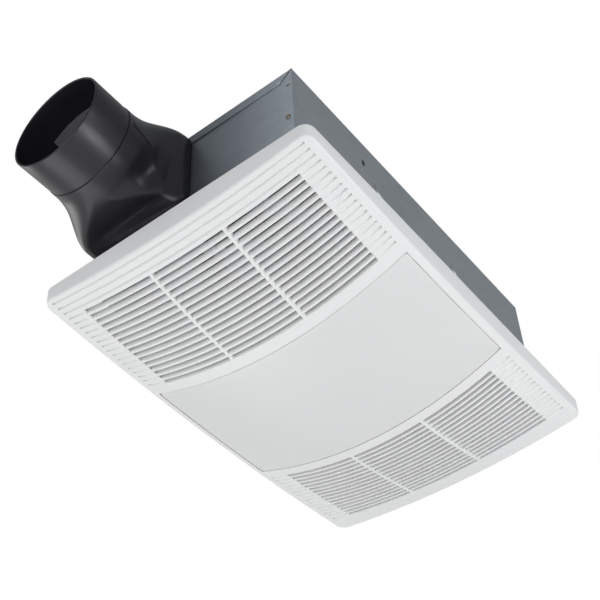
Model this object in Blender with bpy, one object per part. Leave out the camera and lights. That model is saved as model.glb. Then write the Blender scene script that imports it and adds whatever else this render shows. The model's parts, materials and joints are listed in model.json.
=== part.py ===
"""Ceiling-mounted bathroom fan with a heater and a light, as separate sub-parts.

Metres, +Z up, as installed: z = 0 is the ceiling, the steel housing stands above it and the
domed cover hangs below it. X runs along the cover, with the duct connector at -X. The origin is
the middle of the ceiling opening. Run with: blender --background --python part.py
"""

from math import asin, ceil, cos, hypot, inf, pi, radians, sin, sqrt

import bmesh
import bpy
from mathutils import Matrix, Vector

MM = 0.001
GAP = 0.3 * MM  # clearance between pieces that touch

# Cover: a doubly curved plate with a turned-up rim
COVER_LENGTH = 450 * MM
COVER_WIDTH = 298 * MM
COVER_CORNER_RADIUS = 10 * MM
COVER_EDGE_RADIUS = 2.2 * MM
COVER_MARGIN_X = 3.5 * MM  # border outside the last groove
COVER_MARGIN_Y = 6.5 * MM  # border outside the grooves' ends and the lens
COVER_WALL = 2.2 * MM
COVER_CORNER_DEPTH = 15 * MM
COVER_SIDE_DROP = 9.4 * MM  # how much deeper the middle of a long edge is than a corner
COVER_END_DROP = 10.5 * MM  # how much deeper the middle of an end edge is than a corner
COVER_MIDDLE_DROP = 24.5 * MM  # further drop of the middle below the two edge arcs

# Louvres: two grilles of slots, with shallow grooves that carry their lines on
SLOT_WIDTH = 4.3 * MM
SLOT_ROWS = 16
SLOT_FROM_LENS = 15 * MM  # from the lens to the middle of the first slot
SLOT_END_INSET = 20.9 * MM  # how far the slots end before the grooves
MULLION_WIDTH = 3 * MM
MULLION_SHARE = 0.3383  # place of the mullions along half a slot
GRILLE_DEPTH = 6 * MM  # depth of the bars between the slots
GROOVE_DEPTH = 0.9 * MM
GROOVE_FROM_BORDER = 0.55 * MM
EXTRA_GROOVE_COUNT = 3
BORDER_STEP = 45 * MM

# Light: lens, tray, board and driver
LENS_HALF_LENGTH = 77.8 * MM
LENS_EDGE = 7.5 * MM  # from the lens's end to the cover's outline
LENS_WALL = 2.2 * MM
LENS_FLANGE_WIDTH = 2.6 * MM
LENS_FLANGE_THICKNESS = 2 * MM
TRAY_SHEET = 1.2 * MM
TRAY_EAR = 11 * MM
BOSS_RADIUS = 3.2 * MM
BOSS_Y = 62 * MM
BOARD_LENGTH = 110 * MM
BOARD_WIDTH = 180 * MM
BOARD_THICKNESS = 1.6 * MM
CHIP_SIZE = 5 * MM
CHIP_HEIGHT = 1 * MM
CHIP_COLUMNS = 3
CHIP_ROWS = 6
DRIVER_SIZE = (44 * MM, 92 * MM, 20 * MM)
DRIVER_X = -44 * MM

# Housing: galvanised sheet, folded round two end plates
HOUSING_LENGTH = 394.6 * MM
HOUSING_WIDTH = 234.2 * MM
HOUSING_HEIGHT = 137 * MM
SHEET = 1 * MM
FLANGE_WIDTH = 12 * MM
MITRE_GAP = 0.8 * MM
FOLD_RADIUS = 1.2 * MM
MOUNT_SLOT_LENGTH = 9 * MM
MOUNT_SLOT_WIDTH = 4.5 * MM
MOUNT_SLOT_FROM_END = 107.3 * MM
MOUNT_SLOT_FROM_TOP = 32 * MM
KNOCKOUT_RADIUS = 8 * MM
KNOCKOUT_X = (-67 * MM, 64 * MM)
KNOCKOUT_FROM_TOP = 52 * MM
KNOCKOUT_RISE = 0.8 * MM
RIVET_RADIUS = 2.6 * MM
RIVET_HEIGHT = 1.1 * MM
RIVET_SHARE = 0.489  # height of the rivets as a share of the housing's

# Duct connector: square-to-round transition, separate round collar and swinging flap
DUCT_RADIUS = 50 * MM
DUCT_FROM_WALL = 59.8 * MM
DUCT_FROM_TOP = 52.2 * MM
DUCT_WALL = 2.5 * MM
COLLAR_WALL = 2 * MM
COLLAR_LENGTH = 41 * MM
NECK_LENGTH = 20 * MM  # round part of the connector behind the collar
SHOULDER_LENGTH = 40 * MM  # where the round section turns into the square one
BOX_LENGTH = 14.3 * MM  # square part at the housing
NECK_STEP = 0.6 * MM  # how far the connector stands proud of the collar
CONNECTOR_WIDTH = 115 * MM
CONNECTOR_HEIGHT = 99 * MM
CONNECTOR_CORNER = 10 * MM
OUTLET_SIZE = (94 * MM, 80 * MM)
OUTLET_FROM_WALL = 15.1 * MM
OUTLET_FROM_TOP = 16 * MM
FLAP_THICKNESS = 1.6 * MM
FLAP_EDGE_GAP = 0.9 * MM
FLAP_PIVOT_OFFSET = 9 * MM  # the pivot lies above the middle, so that the flap falls shut
FLAP_FROM_SEAM = 7 * MM
FLAP_PIN_RADIUS = 2 * MM
FLAP_STOP_HEIGHT = 3 * MM

# Exhaust blower: scroll, wheel and motor
BLOWER_FROM_END = 87.3 * MM
BLOWER_Y = 0 * MM
SCROLL_START_RADIUS = 68 * MM
SCROLL_END_RADIUS = 103.5 * MM
SCROLL_FOOT = 38 * MM
SCROLL_HEADROOM = 14 * MM
SCROLL_FLANGE = 6 * MM
SCROLL_WALL = 1.5 * MM
SCROLL_START_ANGLE = radians(174)
WHEEL_RADIUS = 60 * MM
WHEEL_RISE = 16 * MM  # from the scroll's foot to the wheel
WHEEL_HEADROOM = 11 * MM
WHEEL_BACK = 1.6 * MM
WHEEL_RING_HEIGHT = 4 * MM
BLADE_COUNT = 30
BLADE_CHORD = 11 * MM
BLADE_THICKNESS = 1.2 * MM
INLET_RADIUS = 50 * MM
INLET_LIP = 10 * MM
MOTOR_RADIUS = 32 * MM
MOTOR_HEIGHT = 46 * MM
HUB_RADIUS = 9 * MM
SPIDER_ARMS = 3
SPIDER_ARM_WIDTH = 12 * MM
SPIDER_SHEET = 1.5 * MM
SHAFT_RADIUS = 3 * MM

# Heater: duct, element, fan and motor
HEATER_Y = 6 * MM
HEATER_LENGTH = 156 * MM
HEATER_WIDTH = 132 * MM
HEATER_SHEET = 1.2 * MM
HEATER_Z = (14 * MM, 58 * MM)
FAN_RADIUS = 50 * MM
FAN_TIP_GAP = 2.5 * MM
FAN_RING_HEIGHT = 16 * MM
FAN_HUB_RADIUS = 15 * MM
FAN_BLADES = 5
FAN_BLADE_PITCH = radians(32)
HEATER_MOTOR_RADIUS = 22 * MM
HEATER_MOTOR_HEIGHT = 30 * MM
ELEMENT_RISE = 6 * MM  # from the duct's mouth to the element
ELEMENT_HEIGHT = 16 * MM
BAR_COUNT = 4
BAR_WIDTH = 5 * MM
FIN_WIDTH = 22 * MM
FIN_FOLDS = 14
FIN_SHEET = 0.6 * MM
HOLDER_WIDTH = 9 * MM

# Torsion springs that pull the cover up
SPRING_FROM_WALL = 13.1 * MM
SPRING_Z = 7 * MM
SPRING_WIRE = 1.6 * MM
SPRING_COIL_RADIUS = 5.6 * MM
SPRING_TURNS = 3
SPRING_COIL_PITCH = 2.3 * MM
SPRING_ARM = 62 * MM
SPRING_SPREAD = radians(40)
SPRING_HOOK = 7 * MM
SADDLE_SHEET = 1.2 * MM
SADDLE_FOOT = 12 * MM
SLOT_PLATE_Z = 22 * MM
SLOT_PLATE_HALF_LENGTH = 36 * MM
SLOT_HALF_LENGTH = 29 * MM
SLOT_CLEARANCE = 1.2 * MM
SLOT_PLATE_LIP = 14 * MM

# Wiring compartment on the long side
WIRING_X = (8 * MM, 112 * MM)
WIRING_HEIGHT = 61.7 * MM
WIRING_DEPTH = 26 * MM
SOCKET_SIZE = (66 * MM, 7 * MM, 14 * MM)
SOCKET_COUNT = 3

SCREW_RADIUS = 3 * MM
SCREW_HEIGHT = 2 * MM

# Places that follow from the sizes above
HALF_LENGTH = COVER_LENGTH / 2
HALF_WIDTH = COVER_WIDTH / 2
HOUSING_X = HOUSING_LENGTH / 2
HOUSING_Y = HOUSING_WIDTH / 2
LENS_HALF_WIDTH = HALF_WIDTH - LENS_EDGE
GROOVE_END_Y = LENS_HALF_WIDTH
SLOT_END_Y = GROOVE_END_Y - SLOT_END_INSET
MULLION_Y = SLOT_END_Y * MULLION_SHARE
SLOT_FIRST_X = LENS_HALF_LENGTH + SLOT_FROM_LENS
SLOT_LAST_X = HALF_LENGTH - COVER_MARGIN_X - GROOVE_FROM_BORDER - SLOT_WIDTH / 2
SLOT_PITCH = (SLOT_LAST_X - SLOT_FIRST_X) / (SLOT_ROWS + EXTRA_GROOVE_COUNT - 1)
GRILLE_START_X = SLOT_FIRST_X + SLOT_WIDTH / 2 - SLOT_PITCH
MOUNT_SLOT_X = -HOUSING_X + MOUNT_SLOT_FROM_END
MOUNT_SLOT_Z = HOUSING_HEIGHT - MOUNT_SLOT_FROM_TOP
KNOCKOUT_Z = HOUSING_HEIGHT - KNOCKOUT_FROM_TOP
RIVET_Z = HOUSING_HEIGHT * RIVET_SHARE
DUCT_Y = HOUSING_Y - DUCT_FROM_WALL
DUCT_Z = HOUSING_HEIGHT - DUCT_FROM_TOP
CONNECTOR_Y = (HOUSING_Y - 0.1 * MM - CONNECTOR_WIDTH, HOUSING_Y - 0.1 * MM)
CONNECTOR_Z = (HOUSING_HEIGHT - SHEET - CONNECTOR_HEIGHT, HOUSING_HEIGHT - SHEET)
OUTLET_Y = (HOUSING_Y - OUTLET_FROM_WALL - OUTLET_SIZE[0], HOUSING_Y - OUTLET_FROM_WALL)
OUTLET_Z = (HOUSING_HEIGHT - OUTLET_FROM_TOP - OUTLET_SIZE[1], HOUSING_HEIGHT - OUTLET_FROM_TOP)
BLOWER_X = -HOUSING_X + BLOWER_FROM_END
SCROLL_Z = (SCROLL_FOOT, HOUSING_HEIGHT - SCROLL_HEADROOM)
WHEEL_Z = (SCROLL_FOOT + WHEEL_RISE, SCROLL_Z[1] - WHEEL_HEADROOM)
SPRING_Y = HOUSING_Y - SPRING_FROM_WALL
WIRING_Z = HOUSING_HEIGHT - SHEET - GAP - WIRING_HEIGHT
END_PLATE_X = HOUSING_X - SHEET - GAP  # outer face of an end plate
CONNECTOR_X = -HOUSING_X - GAP  # where the connector meets the housing
SHOULDER_END_X = CONNECTOR_X - BOX_LENGTH
SHOULDER_X = SHOULDER_END_X - SHOULDER_LENGTH
SEAM_X = SHOULDER_X - NECK_LENGTH
FLAP_X = SEAM_X + FLAP_FROM_SEAM
FLAP_PIVOT_Z = DUCT_Z + FLAP_PIVOT_OFFSET
BORE_RADIUS = DUCT_RADIUS + NECK_STEP - DUCT_WALL
TRAY_TOP_Z = -GAP  # the housing's side walls rest on the tray
TRAY_HALF_LENGTH = LENS_HALF_LENGTH + 1 * MM
TRAY_HALF_WIDTH = LENS_HALF_WIDTH - 1 * MM
LENS_GAP = 0.4 * MM
HEATER_X = END_PLATE_X - SHEET - GAP - HEATER_LENGTH / 2
PLATE_Z = SCROLL_Z[0] - GAP - SPIDER_SHEET  # underside of the blower plate
SPIDER_Z = PLATE_Z - GAP - SPIDER_SHEET
MOTOR_Z = SPIDER_Z + SPIDER_SHEET + GAP
SHAFT_TOP_Z = WHEEL_Z[1] + 6 * MM
FAN_Z = HEATER_Z[1] + FAN_RING_HEIGHT / 2
HEATER_SPIDER_Z = HEATER_Z[1] + FAN_RING_HEIGHT + GAP
HEATER_MOTOR_Z = HEATER_SPIDER_Z + SPIDER_SHEET + GAP
PARTITION_X = -6 * MM


def material(name, colour, roughness, metallic=0.0):
    """A Principled material, given its colour as red, green and blue."""
    made = bpy.data.materials.new(name)
    made.use_nodes = True
    made.diffuse_color = (*colour, 1.0)
    shader = made.node_tree.nodes["Principled BSDF"]
    shader.inputs["Base Color"].default_value = (*colour, 1.0)
    shader.inputs["Roughness"].default_value = roughness
    shader.inputs["Metallic"].default_value = metallic
    return made


def make_object(name, bm, look, smooth_angle=None, origin=None):
    """Turn a bmesh into a named object, with its origin at a given point."""
    bmesh.ops.remove_doubles(bm, verts=bm.verts, dist=1e-6)
    bmesh.ops.recalc_face_normals(bm, faces=bm.faces)
    if bm.calc_volume(signed=True) < 0:
        bmesh.ops.reverse_faces(bm, faces=bm.faces)
    mesh = bpy.data.meshes.new(name)
    if origin is not None:
        bmesh.ops.translate(bm, verts=bm.verts, vec=-Vector(origin))
    bm.to_mesh(mesh)
    bm.free()
    mesh.materials.append(look)
    if smooth_angle is not None:
        mesh.shade_smooth()
        mesh.set_sharp_from_angle(angle=smooth_angle)
    made = bpy.data.objects.new(name, mesh)
    if origin is not None:
        made.location = origin
    bpy.context.scene.collection.objects.link(made)
    return made


def combine(target, bm, operation):
    """Cut a bmesh from an object, or join it on, and keep the result as the object's mesh."""
    tool = make_object("tool", bm, target.data.materials[0])
    step = target.modifiers.new("step", "BOOLEAN")
    step.operation = operation
    step.solver = "EXACT"
    step.object = tool
    bpy.context.view_layer.update()
    graph = bpy.context.evaluated_depsgraph_get()
    result = bpy.data.meshes.new_from_object(target.evaluated_get(graph))
    target.modifiers.clear()
    old = target.data
    target.data = result
    result.name = target.name
    bpy.data.meshes.remove(old)
    bpy.data.objects.remove(tool)
    return target


def make_fasteners(name, look, radius, height, places):
    """Identical screw or rivet heads, each its own object, standing up from their places."""
    for number, place in enumerate(places, 1):
        bm = bmesh.new()
        add_cylinder(bm, radius, 0, height, place, 10, radius * 0.7)
        make_object(name + "_" + str(number), bm, look, radians(50))


def along(axis, centre=(0, 0, 0)):
    """Matrix that turns local Z towards an axis and moves the origin to a point."""
    turn = Vector((0, 0, 1)).rotation_difference(Vector(axis)).to_matrix().to_4x4()
    return Matrix.Translation(centre) @ turn


def add_box(bm, low, high):
    """A box between two corners."""
    size = [high[i] - low[i] for i in range(3)]
    middle = [(high[i] + low[i]) / 2 for i in range(3)]
    place = Matrix.Translation(middle) @ Matrix.Diagonal((*size, 1))
    bmesh.ops.create_cube(bm, size=1, matrix=place)


def add_cylinder(bm, radius, low, high, place=None, sides=24, top_radius=None):
    """A cylinder or cone from low to high along the local Z of a matrix."""
    place = place or Matrix.Identity(4)
    middle = place @ Matrix.Translation((0, 0, (low + high) / 2))
    top = radius if top_radius is None else top_radius
    bmesh.ops.create_cone(bm, cap_ends=True, segments=sides, radius1=radius, radius2=top,
                          depth=high - low, matrix=middle)


def add_turned(bm, profile, place=None, sides=32):
    """Spin a closed profile of (radius, height) points about the local Z of a matrix."""
    place = place or Matrix.Identity(4)
    ring = [bm.verts.new((radius, 0, height)) for radius, height in profile]
    edges = [bm.edges.new((ring[i - 1], ring[i])) for i in range(len(ring))]
    made = bmesh.ops.spin(bm, geom=ring + edges, cent=(0, 0, 0), axis=(0, 0, 1), angle=2 * pi,
                          steps=sides, use_merge=True)
    verts = set(ring) | {item for item in made["geom_last"] if isinstance(item, bmesh.types.BMVert)}
    reach = list(verts)
    while reach:
        for edge in reach.pop().link_edges:
            for vert in edge.verts:
                if vert not in verts:
                    verts.add(vert)
                    reach.append(vert)
    bmesh.ops.transform(bm, matrix=place, verts=[vert for vert in verts if vert.is_valid])


def add_plate(bm, outline, holes, low, high, place=None):
    """A flat plate with holes: outlines of (x, y) points, extruded from low to high."""
    place = place or Matrix.Identity(4)
    edges = []
    for loop in [outline, *holes]:
        verts = [bm.verts.new(place @ Vector((x, y, low))) for x, y in loop]
        edges += [bm.edges.new((verts[i - 1], verts[i])) for i in range(len(verts))]
    normal = place.to_3x3() @ Vector((0, 0, 1))
    filled = bmesh.ops.triangle_fill(bm, edges=edges, use_beauty=True, use_dissolve=False, normal=normal)
    faces = [item for item in filled["geom"] if isinstance(item, bmesh.types.BMFace)]
    grown = bmesh.ops.extrude_face_region(bm, geom=faces, use_keep_orig=True)
    moved = [item for item in grown["geom"] if isinstance(item, bmesh.types.BMVert)]
    bmesh.ops.translate(bm, verts=moved, vec=normal * (high - low))


def add_loft(bm, rings, closed_path=False):
    """Skin a list of equal rings of points, with caps unless the path closes on itself."""
    loops = [[bm.verts.new(point) for point in ring] for ring in rings]
    count = len(loops[0])
    pairs = list(zip(loops, loops[1:]))
    if closed_path:
        pairs.append((loops[-1], loops[0]))
    else:
        bm.faces.new(list(reversed(loops[0])))
        bm.faces.new(loops[-1])
    for near, far in pairs:
        for i in range(count):
            j = (i + 1) % count
            bm.faces.new((near[i], near[j], far[j], far[i]))


def circle(x, y, radius, sides=24):
    """Points of a circle."""
    angles = [2 * pi * i / sides for i in range(sides)]
    return [(x + radius * cos(angle), y + radius * sin(angle)) for angle in angles]


def rectangle(x, y):
    """Corners of a rectangle between two x values and two y values."""
    return [(x[0], y[0]), (x[1], y[0]), (x[1], y[1]), (x[0], y[1])]


def rounded_rectangle(x, y, radius, steps=4):
    """Points of a rectangle with round corners, counter-clockwise from the +X +Y corner."""
    points = []
    for k, (i, j) in enumerate(((1, 1), (0, 1), (0, 0), (1, 0))):
        centre_x = x[i] + (radius if i == 0 else -radius)
        centre_y = y[j] + (radius if j == 0 else -radius)
        for step in range(steps + 1):
            angle = pi / 2 * (k + step / steps)
            points.append((centre_x + radius * cos(angle), centre_y + radius * sin(angle)))
    return points


def smooth_step(share):
    """Ease from 0 to 1 without a kink at either end."""
    share = min(max(share, 0), 1)
    return share * share * (3 - 2 * share)


def face_depth(x, y):
    """How far the cover's face lies below the ceiling."""
    across = 1 - (x / HALF_LENGTH) ** 2
    along_y = 1 - (y / HALF_WIDTH) ** 2
    crown = COVER_END_DROP + COVER_MIDDLE_DROP * across
    return COVER_CORNER_DEPTH + COVER_SIDE_DROP * across + crown * along_y


def refined(values, longest):
    """Sort grid lines and split the wide steps between them."""
    values = sorted(values)
    lines = [values[0]]
    for value in values[1:]:
        parts = max(1, ceil((value - lines[-1]) / longest - 1e-6))
        start = lines[-1]
        lines += [start + (value - start) * (i + 1) / parts for i in range(parts)]
    return lines


def add_strip(bm, first, last):
    """Triangles between two rows of verts, always taking the shorter diagonal next."""
    i, j = 0, 0
    while i < len(first) - 1 or j < len(last) - 1:
        across = (first[i + 1].co - last[j].co).length if i < len(first) - 1 else inf
        back = (last[j + 1].co - first[i].co).length if j < len(last) - 1 else inf
        if across < back:
            bm.faces.new((first[i], first[i + 1], last[j]))
            i += 1
        else:
            bm.faces.new((first[i], last[j + 1], last[j]))
            j += 1


def add_stepped_panel(bm, lines_x, lines_y, levels, closed):
    """A panel that follows the cover's face, built from cells with their own two levels.

    levels(x, y) gives the depth of a cell's outer and inner side behind the face, or None where
    the panel is open. Walls join cells whose levels differ, and close the outer edge if asked.
    Returns the verts by grid place and level.
    """
    spans_x = [(a + b) / 2 for a, b in zip(lines_x, lines_x[1:])]
    spans_y = [(a + b) / 2 for a, b in zip(lines_y, lines_y[1:])]
    cells = {(i, j): levels(x, y) for i, x in enumerate(spans_x) for j, y in enumerate(spans_y)}
    verts = {}

    def vert(i, j, level):
        key = (i, j, round(level, 7))
        if key not in verts:
            x, y = lines_x[i], lines_y[j]
            verts[key] = bm.verts.new((x, y, level - face_depth(x, y)))
        return verts[key]

    def corner_levels(i, j):
        near = [cells.get((i + a, j + b)) for a in (-1, 0) for b in (-1, 0)]
        return sorted({round(level, 7) for cell in near if cell for level in cell})

    def wall(i, j, m, n, low, high):
        first = [vert(i, j, z) for z in corner_levels(i, j) if low <= z + 1e-9 and z - 1e-9 <= high]
        last = [vert(m, n, z) for z in corner_levels(m, n) if low <= z + 1e-9 and z - 1e-9 <= high]
        add_strip(bm, first, last)

    for (i, j), cell in cells.items():
        if cell is None:
            continue
        corners = ((i, j), (i + 1, j), (i + 1, j + 1), (i, j + 1))
        for level in cell:
            bm.faces.new([vert(*corner, level) for corner in corners])
    for i in range(len(lines_x)):
        for j in range(len(lines_y)):
            for other, ends in (((i - 1, j), (i, j, i, j + 1)), ((i, j - 1), (i, j, i + 1, j))):
                if ends[2] >= len(lines_x) or ends[3] >= len(lines_y):
                    continue
                one, two = cells.get((i, j)), cells.get(other)
                if one is None and two is None:
                    continue
                if one is None or two is None:
                    at_edge = min(other) < 0 or i >= len(spans_x) or j >= len(spans_y)
                    if at_edge and not closed:
                        continue
                    outer, inner = one or two
                    wall(*ends, outer, inner)
                    continue
                for k in (0, 1):
                    if abs(one[k] - two[k]) > 1e-7:
                        wall(*ends, min(one[k], two[k]), max(one[k], two[k]))
    return verts


def slot_intervals():
    """The x range of each groove line on the +X half, from the innermost slot outwards."""
    count = SLOT_ROWS + EXTRA_GROOVE_COUNT
    centres = [SLOT_FIRST_X + SLOT_PITCH * i for i in range(count)]
    return [(x - SLOT_WIDTH / 2, x + SLOT_WIDTH / 2) for x in centres]


def cover_levels(x, y):
    """Levels of the cover at a place: slot, groove, bar, lens opening or plain wall."""
    lens_x, lens_y = LENS_HALF_LENGTH + LENS_GAP, LENS_HALF_WIDTH + LENS_GAP
    if abs(x) < lens_x and abs(y) < lens_y:
        return None
    intervals = slot_intervals()
    in_slats = GRILLE_START_X < abs(x) < intervals[-1][1] and abs(y) < GROOVE_END_Y
    wall = GRILLE_DEPTH if in_slats else COVER_WALL
    for row, (low, high) in enumerate(intervals):
        if low < abs(x) < high and abs(y) < GROOVE_END_Y:
            on_mullion = abs(abs(y) - MULLION_Y) < MULLION_WIDTH / 2
            if row >= SLOT_ROWS or abs(y) > SLOT_END_Y:
                return GROOVE_DEPTH, wall
            return (0, wall) if on_mullion else None
    return 0, wall


def cover_lines():
    """The x and y places where the cover's face is divided."""
    edge_x, edge_y = HALF_LENGTH - COVER_MARGIN_X, HALF_WIDTH - COVER_MARGIN_Y
    intervals = slot_intervals()
    half_x = [LENS_HALF_LENGTH + LENS_GAP, GRILLE_START_X, edge_x]
    half_x += [x for interval in intervals for x in interval]
    half_y = [MULLION_Y - MULLION_WIDTH / 2, MULLION_Y + MULLION_WIDTH / 2, SLOT_END_Y,
              GROOVE_END_Y, LENS_HALF_WIDTH + LENS_GAP, edge_y]
    lines_x = refined([-x for x in half_x] + [0] + half_x, LENS_HALF_LENGTH * 0.55)
    lines_y = refined([-y for y in half_y] + [0] + half_y, MULLION_Y)
    return lines_x, lines_y


def within(lines, reach, *ends):
    """The cover's dividing lines inside a reach, together with the given places on both sides."""
    inside = [place for place in lines if abs(place) < reach]
    return sorted(inside + [sign * end for sign in (-1, 1) for end in ends])


def border_stations(lines_x, lines_y):
    """Places round the border, each as grid place, centre, reach to the outline and outward angle."""
    top_x, top_y = len(lines_x) - 1, len(lines_y) - 1
    corner_x, corner_y = HALF_LENGTH - COVER_CORNER_RADIUS, HALF_WIDTH - COVER_CORNER_RADIUS

    def picks(lines, limit):
        inside = [k for k, place in enumerate(lines) if abs(place) < limit]
        aims = refined([-limit, 0, limit], BORDER_STEP)
        return sorted({min(inside, key=lambda k: abs(lines[k] - aim)) for aim in aims})

    picks_x, picks_y = picks(lines_x, corner_x), picks(lines_y, corner_y)
    sides = (([(top_x, j) for j in picks_y], (top_x, top_y), (1, 1)),
             ([(i, top_y) for i in reversed(picks_x)], (0, top_y), (-1, 1)),
             ([(0, j) for j in reversed(picks_y)], (0, 0), (-1, -1)),
             ([(i, 0) for i in picks_x], (top_x, 0), (1, -1)))
    stations = []
    for k, (places, corner, sign) in enumerate(sides):
        for i, j in places:
            reach = (COVER_MARGIN_X, COVER_MARGIN_Y)[k % 2]
            stations.append(((i, j), (lines_x[i], lines_y[j]), reach, k * pi / 2))
        for step in range(5):
            centre = (sign[0] * corner_x, sign[1] * corner_y)
            stations.append((corner, centre, COVER_CORNER_RADIUS, (k + step / 4) * pi / 2))
    return stations


def add_cover_border(bm, lines_x, lines_y, verts):
    """Join the cover's face to its rounded outline: edge fillet, rim and inner wall."""
    stations = border_stations(lines_x, lines_y)
    edge = COVER_EDGE_RADIUS
    half_turn = radians(45)
    profile = [(edge, 0, True), (edge * (1 - sin(half_turn)), edge * (1 - cos(half_turn)), True),
               (0, edge, True), (0, 0, False), (COVER_WALL, 0, False), (COVER_WALL, COVER_WALL, True)]
    loops = []
    for inset, rise, on_face in profile:
        ring = []
        for _, centre, reach, angle in stations:
            x = centre[0] + (reach - inset) * cos(angle)
            y = centre[1] + (reach - inset) * sin(angle)
            ring.append(bm.verts.new((x, y, rise - face_depth(x, y) if on_face else 0)))
        loops.append(ring)
    count = len(stations)
    for near, far in zip(loops, loops[1:]):
        for k in range(count):
            bm.faces.new((near[k], near[k - 1], far[k - 1], far[k]))
    for ring, level in ((loops[0], 0), (loops[-1], COVER_WALL)):
        for k in range(count):
            (i, j), (m, n) = stations[k - 1][0], stations[k][0]
            step_i, step_j = (m > i) - (m < i), (n > j) - (n < j)
            walk = range(max(abs(m - i), abs(n - j)) + 1)
            inner = [verts[(i + step_i * s, j + step_j * s, round(level, 7))] for s in walk]
            add_strip(bm, inner, [ring[k - 1], ring[k]])


def make_cover(look):
    """The domed, louvred cover, with screw bosses for the light tray."""
    lines_x, lines_y = cover_lines()
    bm = bmesh.new()
    verts = add_stepped_panel(bm, lines_x, lines_y, cover_levels, closed=False)
    add_cover_border(bm, lines_x, lines_y, verts)
    cover = make_object("cover", bm, look, radians(30))
    for sx in (-1, 1):
        for sy in (-1, 1):
            x, y = sx * (TRAY_HALF_LENGTH + TRAY_EAR / 2), sy * BOSS_Y
            boss = bmesh.new()
            add_cylinder(boss, BOSS_RADIUS, COVER_WALL / 2 - face_depth(x, y),
                         TRAY_TOP_Z - TRAY_SHEET - GAP, Matrix.Translation((x, y, 0)), 12)
            combine(cover, boss, "UNION")
    return cover


def lens_levels(x, y):
    """Levels of the lens: thin in the middle, with a flange behind the cover round its edge."""
    if abs(x) > LENS_HALF_LENGTH or abs(y) > LENS_HALF_WIDTH:
        return COVER_WALL + GAP, COVER_WALL + GAP + LENS_FLANGE_THICKNESS
    inset = COVER_WALL + LENS_FLANGE_THICKNESS
    if abs(x) > LENS_HALF_LENGTH - inset or abs(y) > LENS_HALF_WIDTH - inset:
        return 0, COVER_WALL + GAP + LENS_FLANGE_THICKNESS
    return 0, LENS_WALL


def make_lens(look):
    """The opal lens that fills the opening between the grilles."""
    inset = COVER_WALL + LENS_FLANGE_THICKNESS
    lines_x, lines_y = cover_lines()
    flange_x, flange_y = LENS_HALF_LENGTH + LENS_FLANGE_WIDTH, LENS_HALF_WIDTH + LENS_FLANGE_WIDTH
    lines_x = within(lines_x, LENS_HALF_LENGTH - inset, LENS_HALF_LENGTH - inset, LENS_HALF_LENGTH, flange_x)
    lines_y = within(lines_y, LENS_HALF_WIDTH - inset, LENS_HALF_WIDTH - inset, LENS_HALF_WIDTH, flange_y)
    bm = bmesh.new()
    add_stepped_panel(bm, lines_x, lines_y, lens_levels, closed=True)
    return make_object("light_lens", bm, look, radians(30))


def make_tray(look):
    """The steel light tray: a plate with a rim that stands on the lens flange, and screw ears."""
    bm = bmesh.new()
    half_x, half_y = TRAY_HALF_LENGTH, TRAY_HALF_WIDTH
    low, high = TRAY_TOP_Z - TRAY_SHEET, TRAY_TOP_Z
    outline = []
    ear = (half_x, half_x + TRAY_EAR)
    for sx in (1, -1):
        side = [(sx * half_x, -sx * half_y)]
        for y in (-sx * BOSS_Y, sx * BOSS_Y):
            half = sx * TRAY_EAR / 2
            side += [(sx * ear[0], y - half), (sx * ear[1], y - half), (sx * ear[1], y + half),
                     (sx * ear[0], y + half)]
        outline += side + [(sx * half_x, sx * half_y)]
    holes = [circle(sx * (half_x + TRAY_EAR / 2), sy * BOSS_Y, SCREW_RADIUS * 0.6, 8)
             for sx in (-1, 1) for sy in (-1, 1)]
    add_plate(bm, outline, holes, low, high)
    tray = make_object("light_tray", bm, look)
    rim = bmesh.new()
    foot = COVER_WALL + LENS_FLANGE_THICKNESS + 2 * GAP
    lines_x, lines_y = cover_lines()
    lines_x, lines_y = within(lines_x, LENS_HALF_LENGTH), within(lines_y, half_y, half_y)
    corners = [(half_x, y) for y in lines_y] + [(x, half_y) for x in reversed(lines_x)]
    corners += [(-half_x, y) for y in reversed(lines_y)] + [(x, -half_y) for x in lines_x]
    rings = []
    for inset, top in ((0, False), (0, True), (TRAY_SHEET, True), (TRAY_SHEET, False)):
        ring = []
        for x, y in corners:
            px = max(-half_x + inset, min(half_x - inset, x))
            py = max(-half_y + inset, min(half_y - inset, y))
            ring.append((px, py, (low + high) / 2 if top else foot - face_depth(x, y)))
        rings.append(ring)
    add_loft(rim, rings, closed_path=True)
    return combine(tray, rim, "UNION")


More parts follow.
